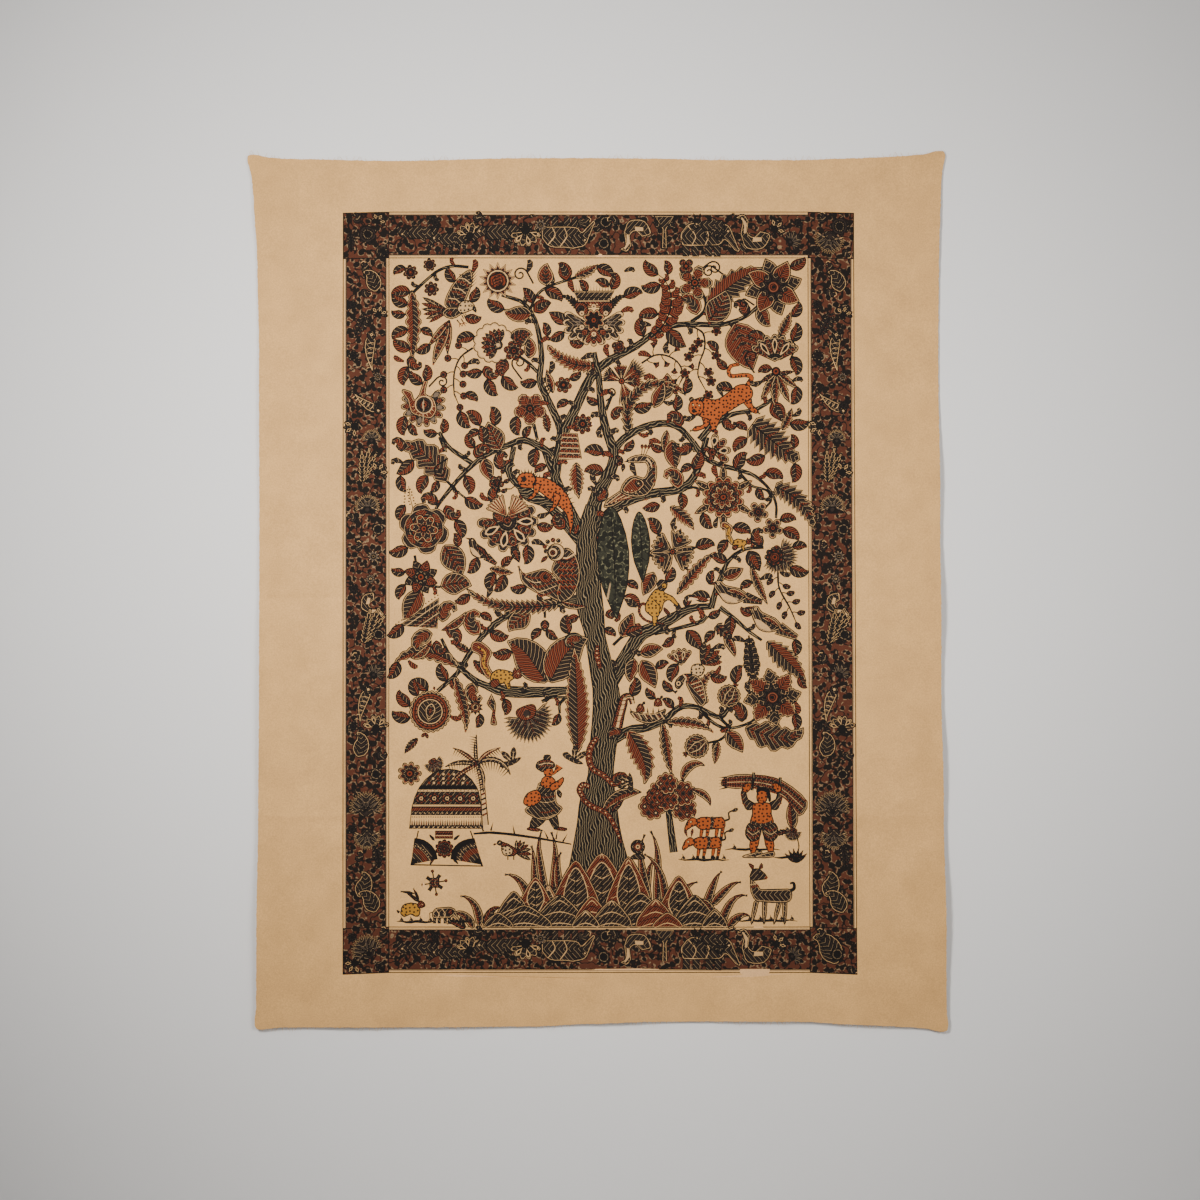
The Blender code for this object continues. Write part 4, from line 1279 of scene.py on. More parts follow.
def leopard(pen):
    """A spotted cat that climbs down a branch, its head to the left."""
    pen.line(BLACK, curve([(6.6, 3.0), (7.4, 4.4), (6.4, 4.9), (4.2, 4.7), (3.6, 5.4), (4.0, 6.4),
                           (5.4, 6.7)], steps=4), 0.85, 0.7, 0.6)
    pen.line(ORANGE, curve([(6.6, 3.0), (7.4, 4.4), (6.4, 4.9), (4.2, 4.7), (3.6, 5.4), (4.0, 6.4),
                            (5.3, 6.7)], steps=4), 0.6, 0.46, 0.36)
    for x, y in ((7.1, 3.9), (6.6, 4.75), (5.7, 4.8), (4.8, 4.7), (3.95, 4.95), (3.7, 5.7), (4.3, 6.5),
                 (5.0, 6.65)):
        pen.bead(BLACK, x, y, 0.14, 5)
    pen.body([(7.2, 1.6), (7.6, 0.0), (8.6, -1.0), (8.3, -1.5), (7.3, -1.2), (6.2, 0.0), (5.6, 1.0)], ORANGE)
    pen.body([(0.6, -2.2), (0.2, -3.6), (-1.6, -4.4), (-2.4, -4.2), (-1.9, -3.5), (-0.6, -3.2),
              (-0.9, -1.8)], ORANGE)
    hide = [(-2.2, 0.9), (-0.6, 1.3), (1.4, 0.9), (3.2, 1.8), (4.9, 3.2), (6.6, 3.4), (7.6, 2.4), (7.4, 1.0),
            (5.6, 0.0), (4.0, -1.0), (2.4, -2.2), (1.6, -4.0), (0.7, -4.2), (0.4, -2.6), (-0.6, -2.2),
            (-1.8, -1.6), (-2.7, -1.2), (-3.0, 0.0)]
    pen.body(hide, ORANGE)
    pen.shape(ORANGE, curve([(-2.7, 0.6), (-1.3, 1.0), (-0.4, 0.1), (-0.7, -1.3), (-2.0, -1.9),
                             (-3.0, -1.0)], True, 3))
    pen.shape(BROWN, disc(-2.5, 0.9, 0.45, 8))
    pen.shape(BROWN, disc(-0.7, 0.9, 0.4, 8))
    eye(pen, -2.2, 0.0, 0.17)
    eye(pen, -1.2, -0.1, 0.17)
    pen.shape(BROWN, disc(-2.1, -1.0, 0.36, 7), FINE)
    pen.line(BLACK, curve([(-2.6, -1.4), (-1.9, -1.7), (-1.2, -1.3)], steps=2), 0.14)
    claws(pen, 8.3, -1.2, -30, 0.6, BLACK)
    claws(pen, -2.2, -4.2, 190, 0.6, BLACK)
    claws(pen, 1.2, -4.0, 250, 0.6, BLACK)


def lizard(pen):
    """A spiny orange lizard with a green belly, its head up to the left."""
    pen.body([(-3.9, 0.6), (-2.6, 1.0), (-1.0, 0.2), (1.0, -1.0), (2.6, -1.4), (1.6, -2.2), (-0.8, -1.8),
              (-2.8, -1.0)], OLIVE)
    back = [(-4.1, 2.2), (-3.2, 3.2), (-1.8, 3.2), (-1.0, 2.6), (0.6, 2.4), (2.4, 1.4), (3.8, -0.2),
            (4.6, -2.2), (4.7, -4.6), (4.1, -6.6), (3.9, -4.6), (3.4, -3.0), (2.2, -2.0), (0.6, -0.8),
            (-0.8, 0.4), (-2.0, 0.8), (-3.4, 0.9)]
    outline = curve(back, True, 3)
    for k in range(2, 26):
        base, out = outline[k], inset(outline, -0.55)[k]
        pen.spike(BLACK, base - (out - base) * 0.4, out, 0.3)
    pen.body(back, ORANGE)
    pen.body([(-1.6, 1.6), (-0.4, 1.4), (-0.7, 0.0), (-1.8, -1.0), (-2.5, -0.8), (-1.5, 0.2)], ORANGE)
    pen.body([(1.6, 0.2), (2.8, -0.4), (2.4, -1.6), (1.7, -2.6), (1.0, -3.0), (0.9, -2.5), (1.5, -1.6)],
             ORANGE)
    pen.line(BLACK, curve([(-1.6, 3.1), (-1.1, 2.2), (-1.5, 1.1)], steps=3), 0.34, 0.2)
    eye(pen, -2.9, 2.2, 0.3, BROWN)
    pen.line(BLACK, curve([(-3.9, 1.1), (-3.1, 1.4), (-2.3, 1.2)], steps=3), 0.15)
    pen.line(BLACK, curve([(-4.0, 1.4), (-4.9, 0.7), (-5.9, 0.7)], steps=3), 0.22, 0.14)


def squirrel(pen, dye=YELLOW):
    """A spotted squirrel with its tail up, facing right."""
    tail = pen.part(-1.9, -0.2, 108, 6.4)
    tail.shape(RUST, curve([(0, -0.08), (0.35, -0.02), (0.62, -0.2), (0.95, -0.02), (1.0, 0.2), (0.8, 0.3),
                            (0.62, 0.14), (0.35, 0.22), (0, 0.12)], True, 3))
    tail.line(YELLOW, curve([(0.05, 0.03), (0.4, 0.1), (0.65, -0.02), (0.85, 0.1)], steps=3), 0.4, 0.5, 0.2)
    for k in range(5):
        tail.spike(BLACK, (0.15 + 0.15 * k, 0.06), (0.3 + 0.15 * k, 0.06 + 0.05 * (k % 2)), 0.16)
    hide = [(-2.2, -0.8), (-2.0, 0.5), (-0.8, 1.2), (0.8, 0.9), (1.6, 0.5), (1.8, -0.3), (1.0, -0.9),
            (1.2, -2.0), (0.5, -2.1), (0.0, -1.2), (-1.2, -1.5)]
    pen.body(hide, dye)
    pen.body([(-2.0, -0.6), (-0.9, -0.4), (-0.7, -1.4), (-1.6, -2.0), (-2.3, -1.4)], RUST, 2)
    pen.body([(1.4, 0.8), (1.8, 1.5), (2.1, 1.0), (2.6, 1.5), (2.8, 0.6), (2.9, -0.1), (2.2, -0.5),
              (1.4, -0.2)], RUST)
    eye(pen, 2.3, 0.45, 0.14)


def monkey(pen):
    """A crouched monkey, facing right, with its tail in a loop below."""
    loop = curve([(-1.0, -2.3), (-2.4, -1.0), (-3.2, -1.3), (-3.3, -2.6), (-2.2, -3.8), (-0.4, -4.2),
                  (0.9, -4.4)], steps=4)
    pen.line(BLACK, loop, 0.5, 0.45, 0.35)
    pen.line(RUST, loop, 0.26, 0.22, 0.12)
    hide = [(-0.6, 1.6), (-1.6, 0.4), (-2.4, -1.2), (-2.2, -2.4), (-1.2, -3.2), (-1.1, -4.6), (-0.4, -4.7),
            (-0.1, -3.2), (0.6, -2.0), (0.9, -0.8), (1.8, -0.4), (3.0, -1.4), (3.4, -1.0), (2.3, 0.4),
            (1.0, 1.0), (0.6, 1.8)]
    pen.body(hide, YELLOW)
    pen.body([(-0.4, 2.4), (0.2, 3.2), (1.3, 3.0), (1.5, 2.0), (0.9, 1.2), (0.0, 1.3)], BROWN)
    pen.shape(YELLOW, disc(0.9, 2.1, 0.5, 9), FINE)
    pen.bead(BLACK, 0.8, 2.25, 0.09, 4)
    pen.bead(BLACK, 1.15, 2.2, 0.09, 4)
    pen.line(BLACK, [(-0.9, -0.2), (0.2, -1.4), (0.0, -2.6)], 0.14)
    pen.body([(0.9, -1.5), (1.9, -2.4), (1.6, -3.0), (0.8, -2.2)], RUST, 2)


def diving_bird(pen):
    """A bird that reaches down, with a fan crest and a tulip behind it."""
    fan(pen.part(-0.9, 2.6, 100, 3.1), 5, 100, 0.86, 0, 0.1, BROWN, RUST, cup=False)
    thistle_fan = pen.part(2.4, 2.9, 42, 4.1)
    for k in range(6):
        barb = thistle_fan.part(0, 0, -36 + 15 * k, 0.9 + 0.04 * (k % 3))
        barb.shape(BROWN if k % 2 else RUST, drop(0, 1, 0.16), 0.11)
    pen.body([(0.6, 1.4), (0.9, 2.7), (2.2, 3.0), (3.1, 2.2), (2.6, 1.0), (1.4, 0.7)], SPECK)
    pen.body([(1.0, 1.2), (2.6, 0.2), (3.2, -1.6), (3.4, -3.4), (2.4, -4.4), (1.2, -3.2), (0.4, -1.6),
              (-0.2, -0.2)], BROWN)
    for k in range(5):
        pen.line(RUST, [(0.4 + 0.5 * k, -0.4 - 0.6 * k), (2.2 + 0.2 * k, 0.2 - 0.7 * k)], 0.3)
        pen.line(CREAM, [(0.7 + 0.5 * k, -0.6 - 0.6 * k), (2.4 + 0.2 * k, 0.0 - 0.7 * k)], FINE)
    pen.body([(-2.1, -0.4), (-1.6, 0.6), (-0.4, 1.3), (0.8, 1.2), (0.6, 0.2), (-0.4, -0.3), (-1.2, -1.3),
              (-1.9, -1.2)], BROWN)
    pen.line(CREAM, curve([(-0.6, 1.1), (-0.1, 0.5), (-0.5, -0.4)], steps=3), 0.2)
    pen.line(RUST, curve([(-0.2, 1.2), (0.3, 0.5), (0.1, -0.4)], steps=3), 0.26)
    eye(pen, -1.4, -0.4, 0.42)
    for k in range(3):
        barbel = pen.part(-1.6 - 0.35 * k, -1.4 - 0.2 * (k % 2), -110 + 20 * k, 0.6)
        barbel.shape(BROWN, drop(0, 1, 0.3), 0.09)


def nest(pen):
    """A hatched nest with two young birds, and the long-necked parent at its left."""
    pen.body([(-3.4, 0.2), (-2.2, -1.4), (0.2, -2.0), (2.2, -1.0), (2.8, 0.6), (1.0, -0.1), (-1.2, -0.2)],
             BROWN)
    for k in range(12):
        a = -3.0 + 0.48 * k
        pen.line((CREAM, RUST, CREAM, BLACK)[k % 4], [(a, -0.1 - 0.3 * (k % 2)), (a + 0.7, -1.2)], 0.16)
    for k in range(7):
        pen.spike(BLACK, (-3.0 + 0.9 * k, -0.1), (-3.4 + 1.0 * k, 0.9), 0.3)
    for x, y in ((-1.6, 0.9), (1.4, 1.9)):
        pen.body([(x - 0.7, y - 0.9), (x - 0.4, y + 0.4), (x + 0.4, y + 0.5), (x + 0.8, y - 0.8)], RUST, 2)
        pen.part(x + 0.3, y + 0.2, 55, 0.9).shape(BROWN, drop(0, 1, 0.3), 0.1)
        eye(pen, x, y, 0.12)
    neck = curve([(-5.6, -2.6), (-5.2, -0.6), (-4.6, 1.2), (-4.3, 2.4), (-3.3, 2.6), (-2.9, 1.4)], steps=4)
    pen.line(BLACK, neck, 1.9, 1.7, 1.3, 0.8)
    pen.line(RUST, neck, 1.4, 1.2, 0.9, 0.4)
    pen.line(CREAM, neck + [0.12, 0], 0.5, 0.5, 0.3)
    for k in range(9):
        at = neck[2 + 2 * k]
        pen.line(BLACK, [at + [-0.5, 0], at + [0.5, 0.1]], 0.12)


def swallow(pen):
    """A small bird with its wings out."""
    pen.shape(BROWN, curve([(1.2, 0.2), (0.5, 0.35), (-0.2, 0.3), (-1.2, 0.5), (-1.6, 0.0), (-1.1, -0.3),
                            (-0.2, -0.3), (0.5, -0.2)], True, 2), 0.1)
    for side in (1, -1):
        pen.part(0, 0, 90 + side * 25, 1.9).shape(BROWN, drop(0, 1, 0.2), 0.1)
        pen.part(0, 0, 90 + side * 25, 1.9).spike(CREAM, (0.2, 0), (0.8, 0), 0.16)
    pen.bead(RUST, 0.9, 0.2, 0.14, 6)


SNAKE = (
    # route, widths
    ([(-0.2, 93.3), (-1.1, 94.4), (-1.6, 96.3), (-1.0, 98.3), (0.8, 99.4), (2.4, 101.0)],
     (0.7, 0.95, 0.9, 0.7)),
    ([(-2.4, 103.1), (-3.1, 101.8), (-2.6, 100.9), (-1.5, 101.2)], (0.8, 0.7)),
    ([(-2.7, 103.1), (-1.1, 104.4), (1.1, 105.4), (2.6, 107.6), (3.6, 110.2)], (0.8, 0.85, 0.7, 0.25)),
    ([(0.2, 82.1), (-0.3, 80.0), (-0.2, 78.4)], (0.5, 0.9, 0.4)),
)


def snake():
    """The snake that winds round the trunk, in the stretches that show."""
    for route, widths in SNAKE:
        stroke(route, *[w + 0.26 for w in widths])
        path = stroke(route, *widths, dye=RUST)
        for k, at in enumerate(path[1:-1]):
            ink(CREAM if k % 2 else BLACK, disc(*at, 0.14, 5), (at,))


# ---- The scene at the tree's foot -------------------------------------------------------------------


def hut(x, down):
    """A domed, patterned hut on a flared wall."""
    pen = Pen(x, down, 0, 1)
    wall = [(-5.2, -5.0), (-4.0, 0.6), (4.6, 0.6), (6.6, -5.2)]
    pen.fill(BLACK, wall)
    pen.fill(CLOTH, [(-4.9, -4.8), (-3.8, 0.6), (4.4, 0.6), (6.2, -5.0)])
    for side, foot in ((-1, -5.1), (1, 6.4)):
        for k, dye in enumerate((BLACK, BROWN, RUST, BROWN, BLACK)):
            r = 4.3 - 0.8 * k
            a = np.radians(np.linspace(90, 90 + 78, 8)) if side > 0 else np.radians(np.linspace(12, 90, 8))
            arc = np.stack([foot + r * np.cos(a) * (1.0 if side < 0 else 1.15), -4.9 + r * np.sin(a)], 1)
            slope = 0.22 if side < 0 else -0.36
            arc[:, 0] += slope * (arc[:, 1] + 4.9) * (0.6 if side < 0 else 0.8)
            pen.fill(dye, np.vstack([arc, [[foot, -4.9]]]))
    for k in range(9):
        a = math.radians(15 + 9 * k)
        pen.bead(CREAM, -5.0 + 3.0 * math.cos(a), -4.8 + 3.0 * math.sin(a), 0.1, 4)
        a = math.radians(165 - 9 * k)
        pen.bead(CREAM, 6.2 + 3.3 * math.cos(a) - 0.9 * math.sin(a), -4.8 + 3.0 * math.sin(a), 0.1, 4)
    layered(pen.part(0.3, -2.3, 0, 1.55), 10, 6, 0, RUST, BROWN)
    for turn, px_, py_ in ((130, -1.3, -1.0), (40, 1.8, -0.9), (-120, -1.4, -3.8), (-50, 1.7, -3.8)):
        leaf(pen.part(px_, py_, turn, 1.3), 0.4)
    pen.shape(RUST, [(-1.2, -0.7), (-1.2, 0.6), (1.7, 0.6), (1.7, -0.7)])
    pen.line(BLACK, [(-1.1, 0.1), (1.6, 0.1)], 0.2)
    pen.line(CREAM, [(-1.1, -0.2), (1.6, -0.2)], FINE)
    dome = curve([(-5.4, 0.9), (-5.0, 4.4), (-3.8, 7.6), (-1.6, 9.9), (1.0, 10.6), (3.6, 9.9), (5.6, 7.6),
                  (6.3, 4.4), (6.6, 0.9)], steps=4)
    pen.fill(BLACK, dome)
    pen.fill(BROWN, np.vstack([dome[6:-6] * [0.97, 0.98]]))

    def edge(y):
        """The dome's left and right sides at a height."""
        left = np.interp(y, dome[:17, 1], dome[:17, 0])
        right = np.interp(y, dome[::-1][:17, 1], dome[::-1][:17, 0])
        return left + 0.15, right - 0.15

    bands = ((0.9, 1.4, BROWN), (1.5, 2.1, CREAM), (2.1, 3.1, CLOTH), (3.2, 3.7, BROWN), (3.8, 4.3, RUST),
             (4.5, 4.8, CREAM), (4.9, 6.7, BROWN), (6.9, 7.2, CREAM), (7.3, 7.9, BLACK))
    for low, high, dye in bands:
        a, b = edge(low), edge(high)
        pen.fill(dye, [(a[0], low), (a[1], low), (b[1], high), (b[0], high)])
    for k in range(30):
        left, right = edge(2.6)
        x_ = left + 0.2 + (right - left - 0.4) * k / 29
        pen.spike(BLACK if k % 2 else RUST, (x_, 1.5), (x_, 2.5), 0.22)
        pen.bead(RUST if k % 2 else BLACK, x_, 2.8, 0.12, 4)
        pen.bead(CREAM if k % 2 else RUST, x_, 1.15, 0.13, 4)
        pen.bead(CREAM if k % 2 else BLACK, x_ * 0.97, 3.45, 0.11, 4)
    for k in range(5):
        left, right = edge(5.8)
        at = pen.part(left + 1.0 + (right - left - 2.0) * k / 4, 5.8, 0, 1)
        at.shape(RUST, radial(6, 1.0, 0.75, 0, 0, 360, 3), FINE)
        at.shape(BROWN, disc(0, 0, 0.6, 9), FINE)
        at.bead(CREAM, 0, 0, 0.32, 8)
        at.bead(RUST, 0, 0, 0.18, 6)
    for k in range(16):
        left, right = edge(7.1)
        pen.bead(BLACK, left + (right - left) * (k + 0.5) / 16, 7.05, 0.1, 4)
    for row in range(3):
        left, right = edge(8.3 + 0.7 * row)
        count = 9 - 2 * row
        for k in range(count):
            pen.bead((RUST, CREAM)[(k + row) % 2], left + 0.6 + (right - left - 1.2) * (k + 0.5) / count,
                                                        8.3 + 0.7 * row, 0.22, 6)


def palm(x, down):
    """A palm that leans over the hut."""
    pen = Pen(x, down, 0, 1)
    stem = curve([(0, 0), (0.7, -3.2), (1.0, -6.4), (1.2, -9.8)], steps=4)
    pen.line(BLACK, stem, 0.8, 0.9, 1.2)
    pen.line(CREAM, stem, 0.5, 0.6, 0.8)
    for k in range(10):
        at = stem[1 + k]
        pen.line(RUST if k % 2 else BLACK, [at + [-0.35, -0.15], at + [0.35, 0.2]], 0.28)
    for turn, length, bend, dye in ((172, 5.6, 70, BROWN), (138, 5.0, 50, RUST), (93, 4.8, 0, BROWN),
                                    (42, 4.6, -30, RUST), (0, 6.2, -95, BROWN), (-75, 4.6, -20, BROWN),
                                    (205, 5.4, 60, RUST)):
        rib = Rib(bend)
        blade = pen.part(0, 0, turn, length)
        s = np.linspace(0, 1, 8)
        half = 0.13 * np.sin(np.pi * (0.05 + 0.92 * s) ** 0.8)
        blade.shape(dye, np.vstack([rib.at(s, half), rib.at(s[::-1], -0.02 * np.ones(8))]), 0.1)
        blade.line(CREAM, rib.at(s[1:-1], half[1:-1] * 0.5), FINE)
        down_side = 1 if turn > 90 else -1
        for k in range(10):
            t = 0.1 + 0.088 * k
            blade.spike(BLACK, rib.at(t)[0], rib.at(min(t + 0.07, 1), down_side * 0.26)[0], 0.2)


def grass(pen, blades=4, tall=1.2):
    """A tuft of grass."""
    for k in range(blades):
        turn = 90 + 50 * (k - (blades - 1) / 2) / blades * 1.6
        blade = pen.part(0.28 * (k - (blades - 1) / 2), 0, turn, tall * (0.7 + 0.3 * ((k * 7) % 3) / 2))
        rib = Rib(-20 if turn < 90 else 20)
        s = np.linspace(0, 1, 4)
        half = np.array([0.11, 0.12, 0.08, 0.0])
        blade.fill(BLACK if k % 2 else BROWN, np.vstack([rib.at(s, half), rib.at(s[::-1], -half[::-1])]))


def ground(x0, x1, down, tufts=4):
    """A dark strip of earth with grass on it."""
    t = np.linspace(x0, x1, 9)
    top = -down + 0.1 * np.sin(t * 2.1)
    thick = 0.22 * np.sin(np.pi * np.linspace(0.06, 0.94, 9))
    bank = np.vstack([np.stack([t, top + thick], 1), np.stack([t, top - thick], 1)[::-1]])
    ink(BLACK, bank, bank[:1])
    for k in range(tufts):
        grass(Pen(x0 + (x1 - x0) * (k + 0.5) / tufts, down - 0.1, 0, 1), 3, 1.0)


def musician(x, down):
    """A turbaned figure in a patterned coat who plays a horn, striding right."""
    pen = Pen(x, down, 0, 1)
    for x_, y_ in ((-2.4, -5.7), (1.9, -5.6)):
        pen.body([(x_ - 0.6, y_), (x_ + 1.2, y_ - 0.3), (x_ + 1.6, y_ + 0.2), (x_ - 0.2, y_ + 0.5)], RUST, 2)
    pen.body([(-2.6, -5.3), (-2.0, -3.4), (-0.2, -2.6), (0.4, -3.6), (-1.0, -5.2)], BROWN, 2)
    pen.body([(0.2, -3.0), (1.6, -2.6), (2.2, -4.6), (2.0, -5.5), (1.1, -5.2)], BROWN, 2)
    pen.body([(-1.2, 1.8), (-1.8, -1.0), (-3.4, -2.4), (-2.2, -3.6), (-0.4, -4.2), (1.6, -3.6), (2.8, -2.2),
              (1.8, -1.2), (1.6, 1.0), (0.6, 2.2)], BROWN, 3)
    for k in range(7):
        pen.line((CREAM, BLACK, RUST)[k % 3], curve([(-1.4 + 0.1 * k, 1.4 - 0.85 * k), (0.2, 1.1 - 0.8 * k),
                                                     (1.6, 1.3 - 0.75 * k)], steps=3),
                 (0.09, 0.14, 0.24)[k % 3])
    pen.body([(-1.2, 0.8), (-3.0, 0.2), (-3.6, -1.4), (-2.2, -2.0), (-0.6, -0.8)], ORANGE)
    pen.body([(-0.6, 2.6), (0.4, 3.2), (1.6, 2.4), (1.4, 1.2), (0.2, 0.9), (-0.8, 1.5)], ORANGE)
    pen.body([(0.6, 1.5), (1.6, 2.1), (2.8, 2.9), (3.0, 2.2), (2.2, 1.0), (1.0, 0.5)], ORANGE, 2)
    pen.body([(-0.6, 3.6), (-1.6, 4.4), (-1.2, 5.4), (0.2, 5.8), (1.4, 5.2), (1.5, 4.4), (0.4, 3.9)], BROWN)
    for k in range(3):
        pen.line(CREAM if k % 2 else RUST, curve([(-1.1, 4.4 + 0.4 * k), (0.2, 4.7 + 0.4 * k),
                                                  (1.2, 4.6 + 0.35 * k)], steps=3), FINE if k % 2 else 0.2)
    pen.body([(-0.3, 5.6), (-0.2, 6.4), (0.8, 6.4), (0.8, 5.6)], BROWN, 2)
    pen.shape(ORANGE, curve([(-0.2, 4.1), (0.6, 4.3), (1.2, 4.1), (1.3, 3.4), (0.9, 2.9), (0.1, 2.9),
                             (-0.3, 3.4)], True, 2), FINE)
    pen.bead(BLACK, 0.85, 3.75, 0.08, 4)
    pen.bead(BLACK, 0.4, 3.75, 0.08, 4)
    pen.line(BLACK, [(0.6, 3.25), (1.0, 3.25)], FINE)
    horn = curve([(1.2, 3.3), (1.8, 3.8), (2.3, 4.6)], steps=3)
    pen.line(BLACK, horn, 0.4, 0.7, 1.3)
    pen.line(ORANGE, horn, 0.2, 0.45, 1.0)
    pen.body([(2.0, 0.9), (2.7, 0.2), (2.4, -0.6), (1.8, 0.1)], BROWN, 2)


def wood_carrier(x, down):
    """A figure who carries a bound bundle of wood over the head, seen from the front."""
    pen = Pen(x, down, 0, 1)
    for side in (-1, 1):
        pen.body([(side * 0.3, -3.2), (side * 1.0, -5.6), (side * 1.9, -5.6), (side * 1.9, -3.4)], ORANGE, 2)
        pen.body([(side * 1.0 - 0.1, -5.5), (side * 1.0 + 1.0, -5.4), (side * 1.0 + 0.9, -6.4),
                  (side * 1.0 - 2.0, -6.5), (side * 1.0 - 1.9, -6.0)], BROWN, 2)
        pen.body([(side * 0.1, -0.8), (side * 2.2, -0.9), (side * 2.7, -2.8), (side * 1.6, -3.9),
                  (side * 0.3, -3.2)], BROWN, 3)
        for k in range(3):
            pen.line((RUST, CREAM, RUST)[k], curve([(side * 0.4, -1.5 - 0.6 * k),
                                                    (side * 1.4, -2.1 - 0.6 * k),
                                                    (side * 2.4, -1.6 - 0.5 * k)], steps=3),
                     (0.24, 0.09, 0.24)[k])
        pen.body([(side * 1.0, 1.6), (side * 2.4, 1.2), (side * 3.2, 2.6), (side * 3.4, 4.2),
                  (side * 2.6, 4.4), (side * 2.2, 3.0), (side * 1.2, 2.4)], BROWN, 3)
        for k in range(3):
            pen.line(RUST, [(side * (2.5 + 0.25 * k), 1.9 + 0.8 * k),
                            (side * (3.2 + 0.1 * k), 2.4 + 0.7 * k)], 0.2)
    pen.body([(-1.5, 2.2), (0, 2.5), (1.5, 2.2), (1.6, 0.6), (1.9, -1.0), (0, -1.5), (-1.9, -1.0),
              (-1.6, 0.6)], ORANGE)
    pen.line(BROWN, curve([(-1.7, -0.7), (0, -1.2), (1.7, -0.7)], steps=3), 0.5)
    bundle = [(-6.6, 5.3), (-5.4, 6.8), (-1.0, 7.0), (3.4, 6.0), (7.4, 2.6), (6.0, 0.2), (3.6, 3.2),
              (0, 4.8), (-4.2, 4.6)]
    pen.body(bundle, BROWN, 3)
    for k in range(7):
        lane = k / 6
        stick = curve([(-6.4, 5.2 + 0.9 * lane), (-1.0, 4.8 + 1.9 * lane), (3.2, 3.5 + 2.2 * lane),
                       (6.2 + 0.9 * lane, 0.6 + 2.0 * lane)], steps=4)
        pen.line((RUST, BLACK, RUST, CREAM)[k % 4], stick, (0.26, 0.13, 0.26, 0.09)[k % 4])
    for k in range(5):
        pen.spike(BLACK, (-5.6, 4.9 + 0.4 * k), (-7.0, 4.5 + 0.5 * k), 0.34)
    for a, b in (((-1.6, 4.4), (-1.3, 7.3)), ((2.6, 3.2), (3.0, 6.5))):
        pen.line(BLACK, [a, b], 0.5)
        pen.line(OLIVE, [a, b], 0.26)
    pen.body([(-0.9, 3.3), (-0.7, 4.4), (0, 4.8), (0.8, 4.5), (1.0, 3.4), (0.7, 2.5), (0, 2.2), (-0.7, 2.5)],
             ORANGE)
    pen.fill(BLACK, curve([(-0.8, 3.9), (-0.2, 4.3), (0.8, 4.0), (1.1, 2.6), (1.5, 2.8), (1.2, 4.6),
                           (0, 5.0), (-0.9, 4.6)], True, 2))
    pen.bead(BLACK, -0.35, 3.5, 0.09, 4)
    pen.bead(BLACK, 0.3, 3.5, 0.09, 4)
    pen.line(BLACK, curve([(-0.3, 2.8), (0, 2.7), (0.35, 2.8)], steps=2), 0.1)
    for side in (-1, 1):
        pen.body([(side * 2.4, 4.0), (side * 1.7, 4.8), (side * 1.6, 5.6), (side * 2.8, 5.5),
                  (side * 3.3, 4.4)], ORANGE, 2)
        for k in range(3):
            pen.line(BLACK, [(side * (2.0 + 0.35 * k), 4.9), (side * (1.8 + 0.4 * k), 5.6)], 0.09)


def ox(pen):
    """A spotted ox that grazes to the left."""
    for x_ in (-0.9, 0.1, 1.6, 2.5):
        pen.body([(x_, -0.6), (x_ + 0.6, -0.7), (x_ + 0.2, -2.6), (x_ - 0.2, -2.6)], ORANGE, 2, 0.11)
        pen.fill(BLACK, [(x_ - 0.25, -2.3), (x_ + 0.25, -2.3), (x_ + 0.25, -2.75), (x_ - 0.3, -2.75)])
    pen.line(BLACK, curve([(3.0, 0.3), (3.8, 0.6), (3.7, 1.6), (4.4, 2.0)], steps=4), 0.32, 0.24)
    pen.part(4.2, 1.8, 25, 1.2).shape(BROWN, drop(0, 1, 0.28), 0.1)
    pen.body([(-1.6, 0.6), (-0.4, 1.0), (1.2, 0.9), (2.6, 1.0), (3.2, 0.2), (3.0, -0.9), (1.2, -1.1),
              (-0.8, -1.2), (-1.8, -0.4)], ORANGE)
    pen.line(BROWN, curve([(0.9, 1.0), (1.1, 0.0), (0.8, -1.1)], steps=3), 0.5)
    pen.body([(-3.0, 0.4), (-2.2, 0.9), (-1.4, 0.5), (-1.4, -0.4), (-2.4, -0.8), (-3.2, -1.4), (-3.6, -0.9)],
             ORANGE)
    for side in (0, 1):
        pen.part(-2.6 + 0.6 * side, 0.8, 110 - 30 * side, 1.6).shape(RUST, drop(0, 1, 0.16), 0.1)
    eye(pen, -2.5, 0.1, 0.18)


